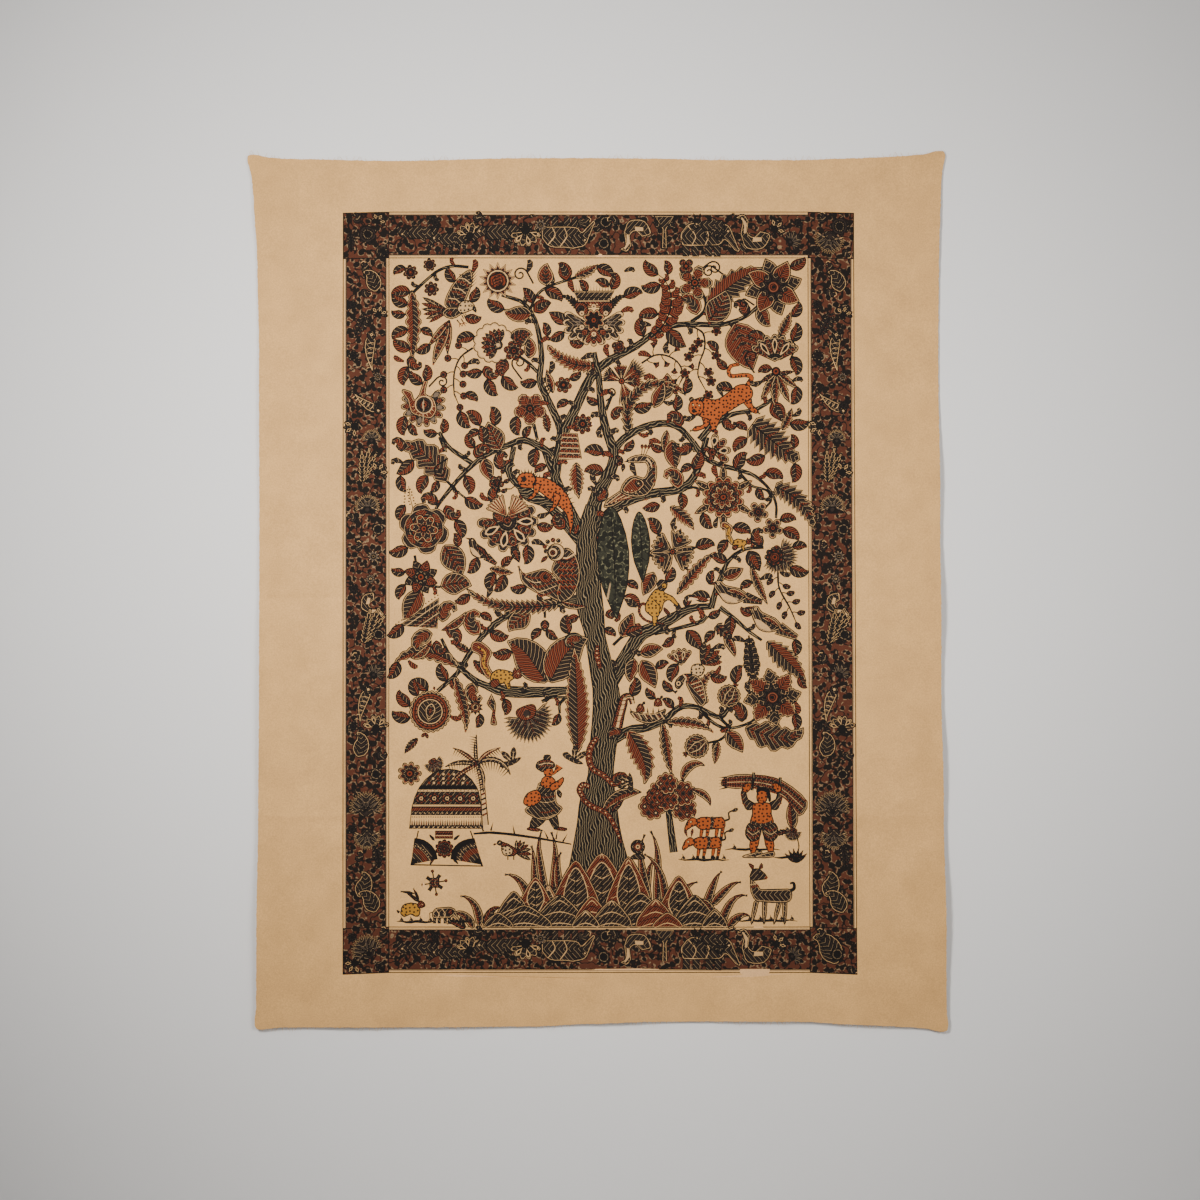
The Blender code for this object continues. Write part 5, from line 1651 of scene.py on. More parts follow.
def deer(pen):
    """A grey deer that looks back over its shoulder."""
    for x_, lean in ((-2.4, -0.6), (-1.0, 0.0), (1.4, -0.7), (2.3, 0.1)):
        pen.body([(x_ - 0.3, -1.2), (x_ + 0.6, -1.2), (x_ + 0.25 + lean, -4.6), (x_ - 0.2 + lean, -4.6)],
                 BROWN, 2)
    pen.body([(-2.6, 2.2), (-1.8, 1.4), (-1.4, 0.9), (1.0, 0.9), (3.0, 1.0), (3.7, 0.2), (3.2, -1.2),
              (1.0, -1.4), (-1.0, -1.3), (-2.4, -1.0), (-3.2, 0.4), (-3.3, 2.0), (-3.3, 3.4), (-2.7, 3.6)],
             BROWN)
    pen.body([(-3.4, 3.0), (-2.8, 4.2), (-1.6, 4.2), (-0.4, 3.0), (-0.6, 2.5), (-1.8, 2.4), (-2.8, 2.2)],
             BROWN)
    pen.bead(RUST, -0.6, 2.8, 0.22, 6)
    pen.body([(-2.9, 4.0), (-3.6, 5.2), (-2.6, 4.8)], RUST, 2)
    pen.body([(-1.9, 4.2), (-1.4, 5.3), (-1.1, 4.4)], RUST, 2)
    eye(pen, -1.7, 3.4, 0.18, RUST)
    pen.line(RUST, [(-3.2, 1.2), (-1.9, 1.5)], 0.34)
    pen.line(CREAM, [(-3.3, 1.6), (-1.9, 1.9)], FINE)
    pen.line(BLACK, curve([(3.3, 0.6), (4.0, 1.0), (3.9, 1.9), (3.3, 1.8)], steps=3), 0.6, 0.5, 0.3)


def elephant(pen):
    """An elephant with a red ear that walks to the right."""
    for x_ in (-1.8, -0.9, 0.3, 1.1):
        pen.shape(BROWN, [(x_ - 0.35, -0.6), (x_ + 0.35, -0.6), (x_ + 0.3, -1.9), (x_ - 0.3, -1.9)], 0.11)
    pen.body([(-2.3, 0.3), (-1.4, 1.2), (0.2, 1.3), (1.2, 1.4), (2.2, 1.0), (2.7, 0.0), (3.1, -1.0),
              (3.6, -1.2), (3.4, -0.6), (3.6, -0.3), (3.1, -1.5), (2.4, -1.1), (1.8, -0.4), (1.2, -0.9),
              (-1.4, -1.0), (-2.2, -0.8)], BROWN)
    pen.body([(0.9, 0.9), (1.7, 1.0), (1.8, 0.1), (1.2, -0.4), (0.7, 0.2)], RUST, 2)
    pen.line(CREAM, curve([(-1.6, 0.9), (-0.9, 0.0), (-1.2, -0.8)], steps=3), FINE)
    pen.line(CREAM, curve([(-0.4, 1.1), (0.3, 0.1), (0.0, -0.8)], steps=3), FINE)
    pen.line(BLACK, curve([(-2.2, 0.3), (-2.8, 0.1), (-2.7, -0.5)], steps=2), 0.18, 0.12)
    eye(pen, 2.1, 0.45, 0.11)


def hare(pen):
    """A long-eared hare that leaps to the right."""
    pen.body([(-2.4, -0.8), (-1.9, 0.7), (-0.4, 1.2), (1.0, 0.9), (1.5, -0.2), (1.2, -1.4), (0.4, -1.5),
              (-0.4, -1.1), (-1.6, -1.6)], YELLOW)
    pen.body([(0.8, 0.8), (1.4, 1.6), (2.2, 1.2), (2.4, 0.5), (1.7, 0.1), (1.0, 0.2)], RUST)
    for turn, length in ((110, 3.0), (140, 3.4)):
        leaf(pen.part(1.2, 1.2, turn, length), 0.22, 10, 0, style="heart")
    leaf(pen.part(0.4, 2.9, 172, 2.8), 0.22)
    pen.body([(-2.4, -0.5), (-3.1, -0.2), (-2.8, -0.9)], RUST, 2)
    eye(pen, 1.8, 0.8, 0.12)


def cockerel(pen):
    """A ruffled bird on the rock, its tail fanned to the right."""
    wing(pen.part(0.6, -0.2), 7, 2.9, 118, BROWN, RUST, 0.3, -30)
    pen.body([(-2.2, 1.5), (-1.2, 1.4), (0.2, 0.6), (1.0, 0.0), (0.4, -0.9), (-0.8, -1.0), (-1.6, -0.2)],
             RUST)
    pen.body([(-1.9, 0.6), (-0.9, 0.9), (0.1, 0.2), (-0.1, -0.7), (-1.2, -1.0), (-1.8, -0.4)], SPECK)
    pen.shape(BROWN, disc(-2.2, 1.3, 0.5, 8))
    eye(pen, -2.2, 1.35, 0.13)
    pen.part(-2.6, 1.2, 200, 0.8).shape(RUST, drop(0, 1, 0.24), 0.1)
    for x_ in (-0.8, 0.2):
        pen.line(BLACK, [(x_, -0.8), (x_, -1.6)], 0.18)


def compass_flower(x, down):
    """A small square-eyed flower with arms all round."""
    pen = Pen(x, down, 0, 2.15)
    for k in range(8):
        p = pen.part(0, 0, 45 * k + 10)
        if k % 2:
            p.shape(BROWN, [(0.2, -0.12), (0.72, -0.14), (0.72, 0.14), (0.2, 0.12)])
        else:
            p.line(BLACK, [(0.2, 0), (0.8, 0)], 0.2)
            p.shape(RUST, disc(0.88, 0, 0.13, 7), FINE)
    pen.shape(BROWN, [(-0.38, -0.38), (-0.38, 0.38), (0.38, 0.38), (0.38, -0.38)])
    for k in (-1, 0, 1):
        pen.line(RUST, [(-0.3, 0.22 * k), (0.3, 0.22 * k)], 0.16)


ROCKS = (
    # x, drop of the foot, half width, height, main dye
    (-13.7, 123.6, 3.2, 5.6, BROWN), (-10.2, 121.9, 3.0, 6.2, RUST), (-8.1, 123.6, 2.6, 6.6, RUST),
    (0.5, 123.6, 5.6, 11.8, RUST), (-3.7, 122.8, 4.3, 9.8, RUST), (4.8, 122.8, 4.1, 10.4, RUST),
    (-6.3, 124.0, 4.4, 5.4, BROWN), (-1.1, 124.0, 3.2, 5.2, RUST), (2.1, 124.0, 3.4, 4.6, BROWN),
    (6.8, 124.0, 4.2, 5.8, BROWN), (9.2, 124.0, 3.4, 4.8, RUST), (12.9, 123.1, 3.6, 7.6, RUST),
    (15.5, 124.0, 3.7, 5.4, BROWN), (18.7, 124.0, 2.2, 3.2, BROWN), (-12.0, 124.0, 4.6, 3.8, BROWN),
    (-16.2, 124.0, 2.6, 2.6, BROWN), (-2.1, 124.0, 2.4, 3.0, BROWN), (11.1, 124.0, 2.6, 2.6, RUST),
)


def rock(x, down, half, tall, dye):
    """A pointed, scaled rock with a darker almond inside."""
    pen = Pen(x, down, 0, 1)
    outline = curve([(-half, 0), (-half * 0.92, tall * 0.3), (-half * 0.5, tall * 0.72), (0, tall),
                     (half * 0.5, tall * 0.72), (half * 0.92, tall * 0.3), (half, 0)], steps=3)
    pen.shape(dye, outline, 0.16)
    for k in range(int(tall / 0.9)):
        y = 0.5 + 0.9 * k
        wide = half * (1 - (y / tall) ** 1.6) * 0.9
        pen.line((CREAM, BLACK)[k % 2], curve([(-wide, y - 0.5), (0, y + 0.3), (wide, y - 0.5)], steps=3),
                 0.06, 0.16, 0.06)
    if tall > 6:
        almond = curve([(0, tall * 0.06), (half * 0.42, tall * 0.35), (half * 0.3, tall * 0.66),
                        (0, tall * 0.86), (-half * 0.3, tall * 0.66), (-half * 0.42, tall * 0.35)], True, 4)
        pen.line(CREAM, np.vstack([almond, almond[:1]]), 0.3)
        pen.fill(BROWN, almond)
        for k in range(7):
            y_ = tall * (0.14 + 0.1 * k)
            for side in (-1, 1):
                pen.spike(CREAM if k % 2 else BLACK, (0, y_), (side * half * 0.3, y_ + tall * 0.07), 0.16)
        pen.line(BLACK, [(0, tall * 0.1), (0, tall * 0.84)], 0.16)


REEDS = (
    # x and drop of the foot, turn, length, bend, hook
    (-21.5, 124.0, 150, 3.4, 30, 60), (-20.2, 124.0, 125, 4.8, 40, 70), (-19.2, 123.8, 102, 6.6, 40, 60),
    (-18.2, 123.8, 74, 4.6, -30, -90), (-11.0, 120.2, 112, 7.0, 30, 60), (-9.9, 120.2, 92, 9.6, -30, 40),
    (-8.6, 120.4, 100, 12.4, 24, -50), (-7.4, 120.4, 84, 12.0, -24, 50), (-6.5, 118.0, 96, 6.4, 20, -60),
    (7.3, 119.6, 84, 7.4, 20, -60), (8.2, 120.6, 104, 12.0, 20, -60), (9.4, 120.9, 86, 12.8, -16, 50),
    (10.7, 120.9, 96, 10.0, 20, 50), (11.8, 121.9, 66, 7.2, -40, -30), (13.1, 122.2, 50, 5.2, -20, -60),
    (17.0, 120.9, 72, 6.8, 24, -50), (18.1, 120.4, 50, 6.4, 10, -60), (18.6, 123.8, 98, 5.6, 20, 70),
    (19.7, 124.0, 72, 7.6, -20, -80), (20.8, 124.0, 48, 4.6, -30, -70),
)


STRIPS = (
    # from x, to x, drop, tufts
    (-32.6, -26.4, 123.0, 4), (12.8, 21.0, 113.0, 5), (20.4, 29.2, 111.3, 3), (28.2, 33.4, 112.6, 0),
    (21.8, 32.0, 122.8, 6), (-24.6, -20.2, 122.9, 2),
)


def foot_of_the_tree():
    """Reeds, rocks, the small trees and the strips of ground."""
    for x, down, turn, length, bend, hook in REEDS:
        leaf(Pen(x, down, turn, length), 1.5 / max(length, 4.0), bend, hook, 0.55)
    for row in sorted(ROCKS, key=lambda row: -row[3]):
        rock(*row)
    # The bough that the musician walks along, and its grass.
    stroke([(-20.2, 108.8), (-17.6, 108.6), (-14.1, 108.9), (-8.7, 109.7), (-4.4, 110.5)], 0.3, 0.45, 0.4,
           0.2)
    for x, down, turn in ((-18.6, 108.4, 110), (-17.4, 108.3, 76), (-13.6, 108.8, 100), (-8.2, 109.6, 116),
                          (-6.9, 109.7, 80), (-5.8, 110.1, 60)):
        Pen(x, down, turn, 1.6).spike(BLACK, (0, 0), (1, 0), 0.3)
    # Idol stone.
    pen = Pen(6.3, 110.9, 0, 1)
    pen.shape(BROWN, curve([(-1.2, -2.0), (-0.7, -1.2), (0.7, -1.2), (1.2, -2.0)], True, 2))
    pen.shape(BROWN, disc(0, 0, 1.2, 14))
    pen.shape(RUST, disc(0, 0, 0.78, 12), FINE)
    pen.bead(CREAM, 0, 0, 0.36, 8)
    pen.bead(BLACK, 0, 0, 0.2, 6)
    # Round-headed tree.
    branch([(11.0, 103.4), (11.6, 107.6), (12.1, 111.8)], (0.9, 1.3))
    clumps = ((8.6, 104.4, 2.3), (13.7, 104.7, 2.2), (10.0, 102.1, 2.1), (13.6, 102.3, 2.2),
              (11.1, 103.3, 2.0), (11.0, 100.7, 1.9), (9.0, 103.0, 1.6))
    for x, down, size in clumps:
        pen = Pen(x, down, 0, size)
        pen.shape(RUST, radial(9, 1, 0.84, 0, 0, 360, 4))
        for k in range(7):
            a = 2 * math.pi * k / 6
            r = 0.52 if k < 6 else 0
            pen.bead(BROWN, *ray(r, a), 0.2, 6)
            pen.bead(CREAM if k % 2 else BLACK, *ray(r, a), 0.08, 4)
    for x, down, turn, length, bend in ((13.6, 100.5, 62, 5.6, -115), (14.7, 101.8, -20, 4.6, -70),
                                        (7.9, 102.1, 60, 0.6, 0)):
        leaf(Pen(x, down, turn, length), 0.28, bend, -20, 0.9, dye=BROWN)
    leaf(Pen(6.9, 102.1, 195, 8.0), 0.24, 75, 0, 0.9)
    swallow(Pen(5.2, 100.4, 90, 1.25))
    leaf(Pen(2.1, 105.4, 50, 3.0), 0.36, -20, 0, style="half")
    # Plant at the right edge.
    leaf(Pen(31.3, 108.3, 94, 4.8), 0.42, 10, 0, 0.9)
    thistle_head(Pen(31.3, 108.6, 250, 1.5))
    leaf(Pen(30.2, 108.3, 200, 1.9), 0.6, teeth=4)
    for k in range(6):
        leaf(Pen(31.8, 113.5, 40 + 20 * k, 2.4), 0.3, 0, 0, style="heart")
    stroke([(32.0, 113.5), (32.3, 110.7), (31.7, 108.9)], 0.2, 0.16)
    for x0, x1, down, tufts in STRIPS:
        ground(x0, x1, down, tufts)


def creatures():
    """Every bird, beast and figure in its place."""
    hoopoe(Pen(-23.1, 25.0, 0, 1.0))
    songbird(Pen(-19.5, 63.4, 0, 1.25, 1).part(0, 0, 150, 1, -1), 0, BROWN, RUST)
    peacock(Pen(6.9, 51.9, 0, 0.98))
    scaled_bird(Pen(-7.1, 67.4, 0, 0.95))
    leopard(Pen(17.4, 39.6, 0, 0.98))
    lizard(Pen(-9.0, 53.9, 0, 1.05))
    squirrel(Pen(-15.3, 83.4, 0, 1.0))
    squirrel(Pen(22.9, 61.9, 0, 0.62).part(0, 0, 0, 1), YELLOW)
    monkey(Pen(9.7, 70.8, 0, 0.95))
    songbird(Pen(21.5, 70.5, -8, 1.75, 1).part(0, 0, 180, 1, -1), 2, BROWN, RUST)
    songbird(Pen(27.0, 75.0, -20, 1.75).part(0, 0, 180, 1, -1), 0, BROWN, RUST, CREAM, 1.9)
    diving_bird(Pen(14.2, 84.2, 0, 0.95))
    nest(Pen(8.2, 89.2, 0, 0.95))
    snake()
    cockerel(Pen(-13.9, 111.5, 0, 0.95))
    for x, down, turn in ((-13.9, 97.3, 20), (-4.0, 97.0, -30)):
        swallow(Pen(x, down, turn, 1.35))
    hut(-25.2, 108.9)
    palm(-19.5, 97.6)
    musician(-8.6, 102.5)
    wood_carrier(26.3, 106.2)
    ox(Pen(17.3, 107.0, 0, 0.98))
    ox(Pen(16.8, 110.2, 0, 0.95))
    deer(Pen(27.6, 118.6, 0, 0.98))
    elephant(Pen(-25.0, 121.7, 0, 0.82))
    hare(Pen(-30.0, 120.9, 0, 0.85))
    compass_flower(-26.5, 116.7)


# ---- The cloth --------------------------------------------------------------------------------------

SHEET = 0.0010  # the cloth's thickness, in metres
GRID = 0.017  # spacing of the sheet's own mesh between the drawn lines
RAW_EDGE = 0.0007  # how far the cut edges wander
SNAP = 0.0002  # places closer than this become one
YARN = 0.0005  # thickness of the hand-spun yarn
THREAD_ENDS = (0.003, 0.006)  # the shortest loose end, and how much longer the longest is
# The cut edge's waves: radians a metre, phase.
RAGGED = ((610, 0.3), (1430, 1.1), (2310, 2.6), (237, 4.0))
HANG_STEP = 0.01  # between the places where the hang is measured
HANG_MARGIN = 0.03  # how far past the cloth it is measured
MID_DEPTH = -0.006  # about how far the cloth stands off the wall
SLOPE_STEP = 0.0015  # over which the slope is taken
FOLD_DRIFT = 0.0025  # how far a fold strays from its straight line
SLACK_HEIGHT = 0.00035  # of the small slack between the folds
# The part whose drawing gives the mesh enough places: half its width, its middle, half its height.
DRAWN = (0.33, -0.70, 0.52)
BACK_GRID = GRID * 1.6
LEAST_GHOST = 0.036  # size of the smallest black shape that has gone through to the back
MATCHING = 2e5  # steps a metre on which places of two meshes are matched
# Where the front, the back and the raw edge lie across the cloth's own map.
FRONT_SPAN = 0.78
BACK_SPAN = (-0.18, 0.98)
EDGE_SPAN = (0.985, 0.01)
BACK, GHOST = 13, 14  # the undyed back, and what has gone through to it
HATCHED = (BROWN, RUST, ORANGE, YELLOW, GREEN, OLIVE, SPECK, SHADE)

# Folds from when the cloth lay folded.
FOLDS = (
    # the axis it crosses, where, how high the ridge stands, half width
    ("x", 0.004, 0.0013, 0.0042),
    ("x", -0.281, -0.0010, 0.0046),
    ("x", 0.276, -0.0009, 0.0046),
    ("z", -0.352, 0.0010, 0.0040),
    ("z", -0.707, -0.0012, 0.0044),
    ("z", -1.057, 0.0009, 0.0040),
)


def frame_front():
    """The frame's front as places across and down, with its faces."""
    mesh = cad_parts["cloth_panel"].data
    points = [tuple(round(c, 6) for c in v.co) for v in mesh.vertices]
    number = {}
    for point in points:
        number.setdefault(point, len(number))
    faces = [[number[points[i]] for i in face.vertices] for face in mesh.polygons if face.normal.y < -0.3]
    return np.array(list(number)), faces


def cut_outline(points, faces):
    """The cloth's edge, in order round the front, as x and z."""
    after = {}
    for face in faces:
        for a, b in zip(face, face[1:] + face[:1]):
            after[(a, b)] = True
    border = {a: b for a, b in after if (b, a) not in after}
    loop = [next(iter(border))]
    while border[loop[-1]] != loop[0]:
        loop.append(border[loop[-1]])
    rough = curve(points[loop][:, [0, 2]], True, 9)
    length = np.append(0, np.cumsum(np.hypot(*np.diff(rough, axis=0).T)))
    wander = sum(np.sin(length * rate + phase) for rate, phase in RAGGED)
    return rough + sideways(rough, True) * (RAW_EDGE * wander / len(RAGGED))[:, None]


class Hang:
    """How the front hangs: its height off the wall and its slope, at any place."""

    def __init__(self, points, faces):
        low, high = points.min(0), points.max(0)
        tree = BVHTree.FromPolygons(points.tolist(), faces)
        self.xs = np.arange(low[0] - HANG_MARGIN, high[0] + HANG_MARGIN + HANG_STEP, HANG_STEP)
        self.zs = np.arange(low[2] - HANG_MARGIN, high[2] + HANG_MARGIN + HANG_STEP, HANG_STEP)
        depth = np.empty((len(self.xs), len(self.zs)))
        for i, x in enumerate(self.xs):
            for j, z in enumerate(self.zs):
                depth[i, j] = tree.find_nearest((x, MID_DEPTH, z))[0].y
        for _ in range(3):
            edge = np.pad(depth, 1, "edge")
            depth = (edge[:-2, 1:-1] + edge[2:, 1:-1] + edge[1:-1, :-2] + edge[1:-1, 2:] + 2 * depth) / 6
        self.depth = depth

    def flat(self, x, z):
        """The smooth hang without its folds."""
        i = np.clip((x - self.xs[0]) / HANG_STEP, 0, len(self.xs) - 1.001)
        j = np.clip((z - self.zs[0]) / HANG_STEP, 0, len(self.zs) - 1.001)
        a, b = i.astype(int), j.astype(int)
        u, v = smooth(i - a), smooth(j - b)
        d = self.depth
        near = d[a, b] * (1 - u) + d[a + 1, b] * u
        return near * (1 - v) + (d[a, b + 1] * (1 - u) + d[a + 1, b + 1] * u) * v

    def at(self, x, z):
        """The hang with its folds and the small slack between them."""
        y = self.flat(x, z)
        for axis, place, height, half in FOLDS:
            across, along = (x, z) if axis == "x" else (z, x)
            drift = FOLD_DRIFT * np.sin(along * 7.0 + place * 40)
            strength = 0.75 + 0.25 * np.sin(along * 11.0 + place * 90)
            y = y - height * strength * np.exp(-(((across - place - drift) / half) ** 2))
        return y - SLACK_HEIGHT * np.sin(x * 61 + 3 * np.sin(z * 13)) * np.sin(z * 47 + 2 * np.sin(x * 17))

    def normal(self, x, z):
        """The way the front faces."""
        e = SLOPE_STEP
        dx = (self.at(x + e, z) - self.at(x - e, z)) / (2 * e)
        dz = (self.at(x, z + e) - self.at(x, z - e)) / (2 * e)
        n = np.stack([dx, -np.ones_like(dx), dz], 1)
        return n / np.linalg.norm(n, axis=1)[:, None]


def smooth(t):
    """A share from 0 to 1, eased at both ends."""
    return t * t * (3 - 2 * t)


def inside(outline, x, y):
    """Which places lie inside an outline, one that crosses itself included."""
    turns = np.zeros(len(x), int)
    for (ax, ay), (bx, by) in zip(outline, np.roll(outline, -1, 0)):
        left = (bx - ax) * (y - ay) - (x - ax) * (by - ay)
        turns += (ay <= y) & (by > y) & (left > 0)
        turns -= (ay > y) & (by <= y) & (left < 0)
    return turns != 0


def triangulate(outline, places, edges):
    """Triangles over the cloth with the given edges among their own, all turned the same way."""
    places, _, faces, *_ = delaunay_2d_cdt([Vector(p) for p in places], edges, [], 0, SNAP, False)
    places = np.array([p[:] for p in places])
    faces = np.array([f for f in faces if len(f) == 3])
    a, b, c = places[faces[:, 0]], places[faces[:, 1]], places[faces[:, 2]]
    area = (b[:, 0] - a[:, 0]) * (c[:, 1] - a[:, 1]) - (c[:, 0] - a[:, 0]) * (b[:, 1] - a[:, 1])
    faces[area < 0] = faces[area < 0][:, ::-1]
    return places, faces[inside(outline, *((a + b + c) / 3).T) & (np.abs(area) > 1e-12)]


def grid_places(outline, spacing):
    """Places of the sheet's own mesh, closer together beside the folds."""
    low, high = outline.min(0), outline.max(0)
    rows = int((high[1] - low[1]) / spacing)
    x, z = np.meshgrid(np.arange(low[0], high[0], spacing), np.linspace(low[1], high[1], rows))
    x = x + spacing / 2 * (np.arange(rows) % 2)[:, None]
    for axis, place, _, half in FOLDS:
        for off in (-1.2, -0.4, 0.4, 1.2):
            run = np.arange(low[1], high[1], spacing) if axis == "x" else np.arange(low[0], high[0], spacing)
            beside = np.full_like(run, place + off * half)
            x = np.append(x, beside if axis == "x" else run)
            z = np.append(z, run if axis == "x" else beside)
    x, z = x.ravel(), z.ravel()
    drawn = (np.abs(x) < DRAWN[0]) & (np.abs(z - DRAWN[1]) < DRAWN[2])
    keep = inside(outline, x, z) & ~drawn
    return np.stack([x[keep], z[keep]], 1)


def face_of_cloth(outline, shapes, ground, spacing):
    """A mesh of one face of the cloth whose edges follow what is seen of every shape, and its dyes."""
    rings = [outline] + [ring for _, ring, _ in shapes]
    first = np.cumsum([0] + [len(ring) for ring in rings])
    edges = [(start + k, start + (k + 1) % len(ring)) for start,
             ring in zip(first, rings) for k in range(len(ring))]
    places, faces = triangulate(outline, np.vstack(rings), edges)
    over, dye = dyes_taken(places, faces, shapes, ground)
    # Edges that a later shape hides, or that part a dye from itself, are left out.
    kind = np.where(np.isin(dye, HATCHED), over + 100, dye)
    sides = {}
    for face, its_kind in zip(faces.tolist(), kind.tolist()):
        for a, b in zip(face, face[1:] + face[:1]):
            sides.setdefault((a, b) if a < b else (b, a), []).append(its_kind)
    edges = [edge for edge, kinds in sides.items() if len(kinds) == 1 or kinds[0] != kinds[1]]
    used, edges = np.unique(np.array(edges), return_inverse=True)
    places = np.vstack([places[used], grid_places(outline, spacing)])
    places, faces = triangulate(outline, places, edges.reshape(-1, 2).tolist())
    return places, faces, *dyes_taken(places, faces, shapes, ground)


def dyes_taken(places, faces, shapes, ground):
    """The last drawn shape over each triangle, -1 for the bare ground, and each triangle's dye."""
    middle = places[faces].mean(1)
    order = np.argsort(middle[:, 0])
    x, z = middle[order].T
    over = np.full(len(faces), -1)
    for number, (_, outline, _) in enumerate(shapes):
        low, high = outline.min(0), outline.max(0)
        first, last = np.searchsorted(x, (low[0], high[0]))
        near = np.flatnonzero((z[first:last] >= low[1]) & (z[first:last] <= high[1])) + first
        if len(near):
            over[order[near[inside(outline, x[near], z[near])]]] = number
    dye = np.array([shape[0] for shape in shapes] + [ground])[over]
    return over, dye


def along_spine(spine, x, y):
    """How far places lie along a spine and to its left, or round its point."""
    if len(spine) == 1:
        return np.hypot(x - spine[0, 0], y - spine[0, 1]), np.zeros_like(x)
    nearest = np.full(x.shape, 1e9)
    along, off = np.zeros_like(x), np.zeros_like(x)
    run = 0.0
    for k, (a, b) in enumerate(zip(spine, spine[1:])):
        length = math.hypot(*(b - a))
        if length < 1e-9:
            continue
        u = (b - a) / length
        t = (x - a[0]) * u[0] + (y - a[1]) * u[1]
        left = (y - a[1]) * u[0] - (x - a[0]) * u[1]
        held = np.clip(t, -1e9 if k == 0 else 0, 1e9 if k == len(spine) - 2 else length)
        away = np.hypot(t - held, left)
        closer = away < nearest
        nearest[closer] = away[closer]
        along[closer] = (run + held)[closer]
        off[closer] = (np.sign(left) * away)[closer]
        run += length
    return along, off


def hatch_lines(places, faces, over, shapes):
    """Where each triangle's corners lie on the spine of its shape, in centimetres."""
    corner = places[faces] * 100
    hatch = np.zeros((len(faces), 3, 3))  # the third value stays 0
    order = np.argsort(over, kind="stable")
    first = np.searchsorted(over[order], np.arange(len(shapes) + 1))
    for number, (dye, _, spine) in enumerate(shapes):
        which = order[first[number]:first[number + 1]]
        if len(which) and dye in HATCHED:
            along, off = along_spine(spine * 100, *corner[which].reshape(-1, 2).T)
            hatch[which, :, 0] = along.reshape(-1, 3)
            hatch[which, :, 1] = off.reshape(-1, 3)
    return hatch


def nearest_numbers(places, ring):
    """The numbers of the mesh's vertices at some places on its edge."""
    found = {}
    for number, place in enumerate(np.round(places * MATCHING).astype(int).tolist()):
        found[tuple(place)] = number
    numbers = []
    for u, v in np.round(ring * MATCHING).astype(int).tolist():
        around = [(u + i, v + j) for i in (0, -1, 1) for j in (0, -1, 1)]
        numbers.append(next(found[p] for p in around if p in found))
    return numbers


def cloth():
    """The closed sheet: its dyed front, its paler back, and the raw edge between them."""
    points, frame_faces = frame_front()
    outline = cut_outline(points, frame_faces)
    hang = Hang(points, frame_faces)
    shapes = [(dye, ring / 100, spine / 100) for dye, ring, spine in PRINT]
    front, front_faces, over, dye = face_of_cloth(outline, shapes, CLOTH, GRID)
    hatch = hatch_lines(front, front_faces, over, shapes)
    ghosts = [(GHOST, ring[::2], spine) for its_dye, ring, spine in shapes
              if its_dye == BLACK and len(ring) > 11 and np.ptp(ring, axis=0).max() > LEAST_GHOST]
    back, back_faces, _, back_dye = face_of_cloth(outline, ghosts, BACK, BACK_GRID)
    a, b = nearest_numbers(front, outline), np.array(nearest_numbers(back, outline)) + len(front)
    rim = [(a[k], a[k - 1], b[k - 1], b[k]) for k in range(len(outline))]

    places = np.vstack([front, back])
    y = hang.at(*places.T)
    y[len(front):] += SHEET
    mesh = bpy.data.meshes.new("cloth")
    quads = [f.tolist() for f in front_faces] + [f[::-1].tolist() for f in back_faces + len(front)] + rim
    mesh.from_pydata(np.stack([places[:, 0], y, places[:, 1]], 1).tolist(), [], quads)

    rest = np.full(len(rim), BACK)
    dyes = np.concatenate([dye, back_dye, rest])
    mesh.attributes.new("dye", "INT", "FACE").data.foreach_set("value", dyes)
    lines = np.zeros((len(mesh.loops), 3))
    lines[:3 * len(front_faces)] = hatch.reshape(-1, 3)
    mesh.attributes.new("hatch", "FLOAT_VECTOR", "CORNER").data.foreach_set("vector", lines.ravel())

    vertex = np.empty(len(mesh.loops), int)
    mesh.loops.foreach_get("vertex_index", vertex)
    spread = (places[vertex] - outline.min(0)) / np.ptp(outline, axis=0)
    on_front, on_back = np.arange(len(vertex)) < 3 * len(front_faces), vertex >= len(front)
    uv = np.where(on_front[:, None], spread * [FRONT_SPAN, 1],
                  spread * [BACK_SPAN[0], 1] + [BACK_SPAN[1], 0])
    edge = np.arange(len(vertex)) >= 3 * (len(front_faces) + len(back_faces))
    uv[edge] = np.stack([EDGE_SPAN[0] + EDGE_SPAN[1] * on_back[edge], spread[edge].sum(1) / 2], 1)
    mesh.uv_layers.new(name="OFBake").data.foreach_set("uv", uv.ravel())

    normal = hang.normal(*places[vertex].T)
    normal[on_back] *= -1
    faces_out = np.repeat(-sideways(outline, True), 4, axis=0)
    normal[edge] = np.stack([faces_out[:, 0], np.zeros(len(faces_out)), faces_out[:, 1]], 1)
    mesh.polygons.foreach_set("use_smooth", [True] * len(mesh.polygons))
    mesh.normals_split_custom_set(normal.tolist())
    piece = bpy.data.objects.new("cloth", mesh)
    bpy.context.scene.collection.objects.link(piece)
    return piece, hang, outline


def placed(name, shape):
    """A piece in the scene, made from a finished bmesh."""
    mesh = bpy.data.meshes.new(name)
    shape.to_mesh(mesh)
    shape.free()
    piece = bpy.data.objects.new(name, mesh)
    bpy.context.scene.collection.objects.link(piece)
    return piece


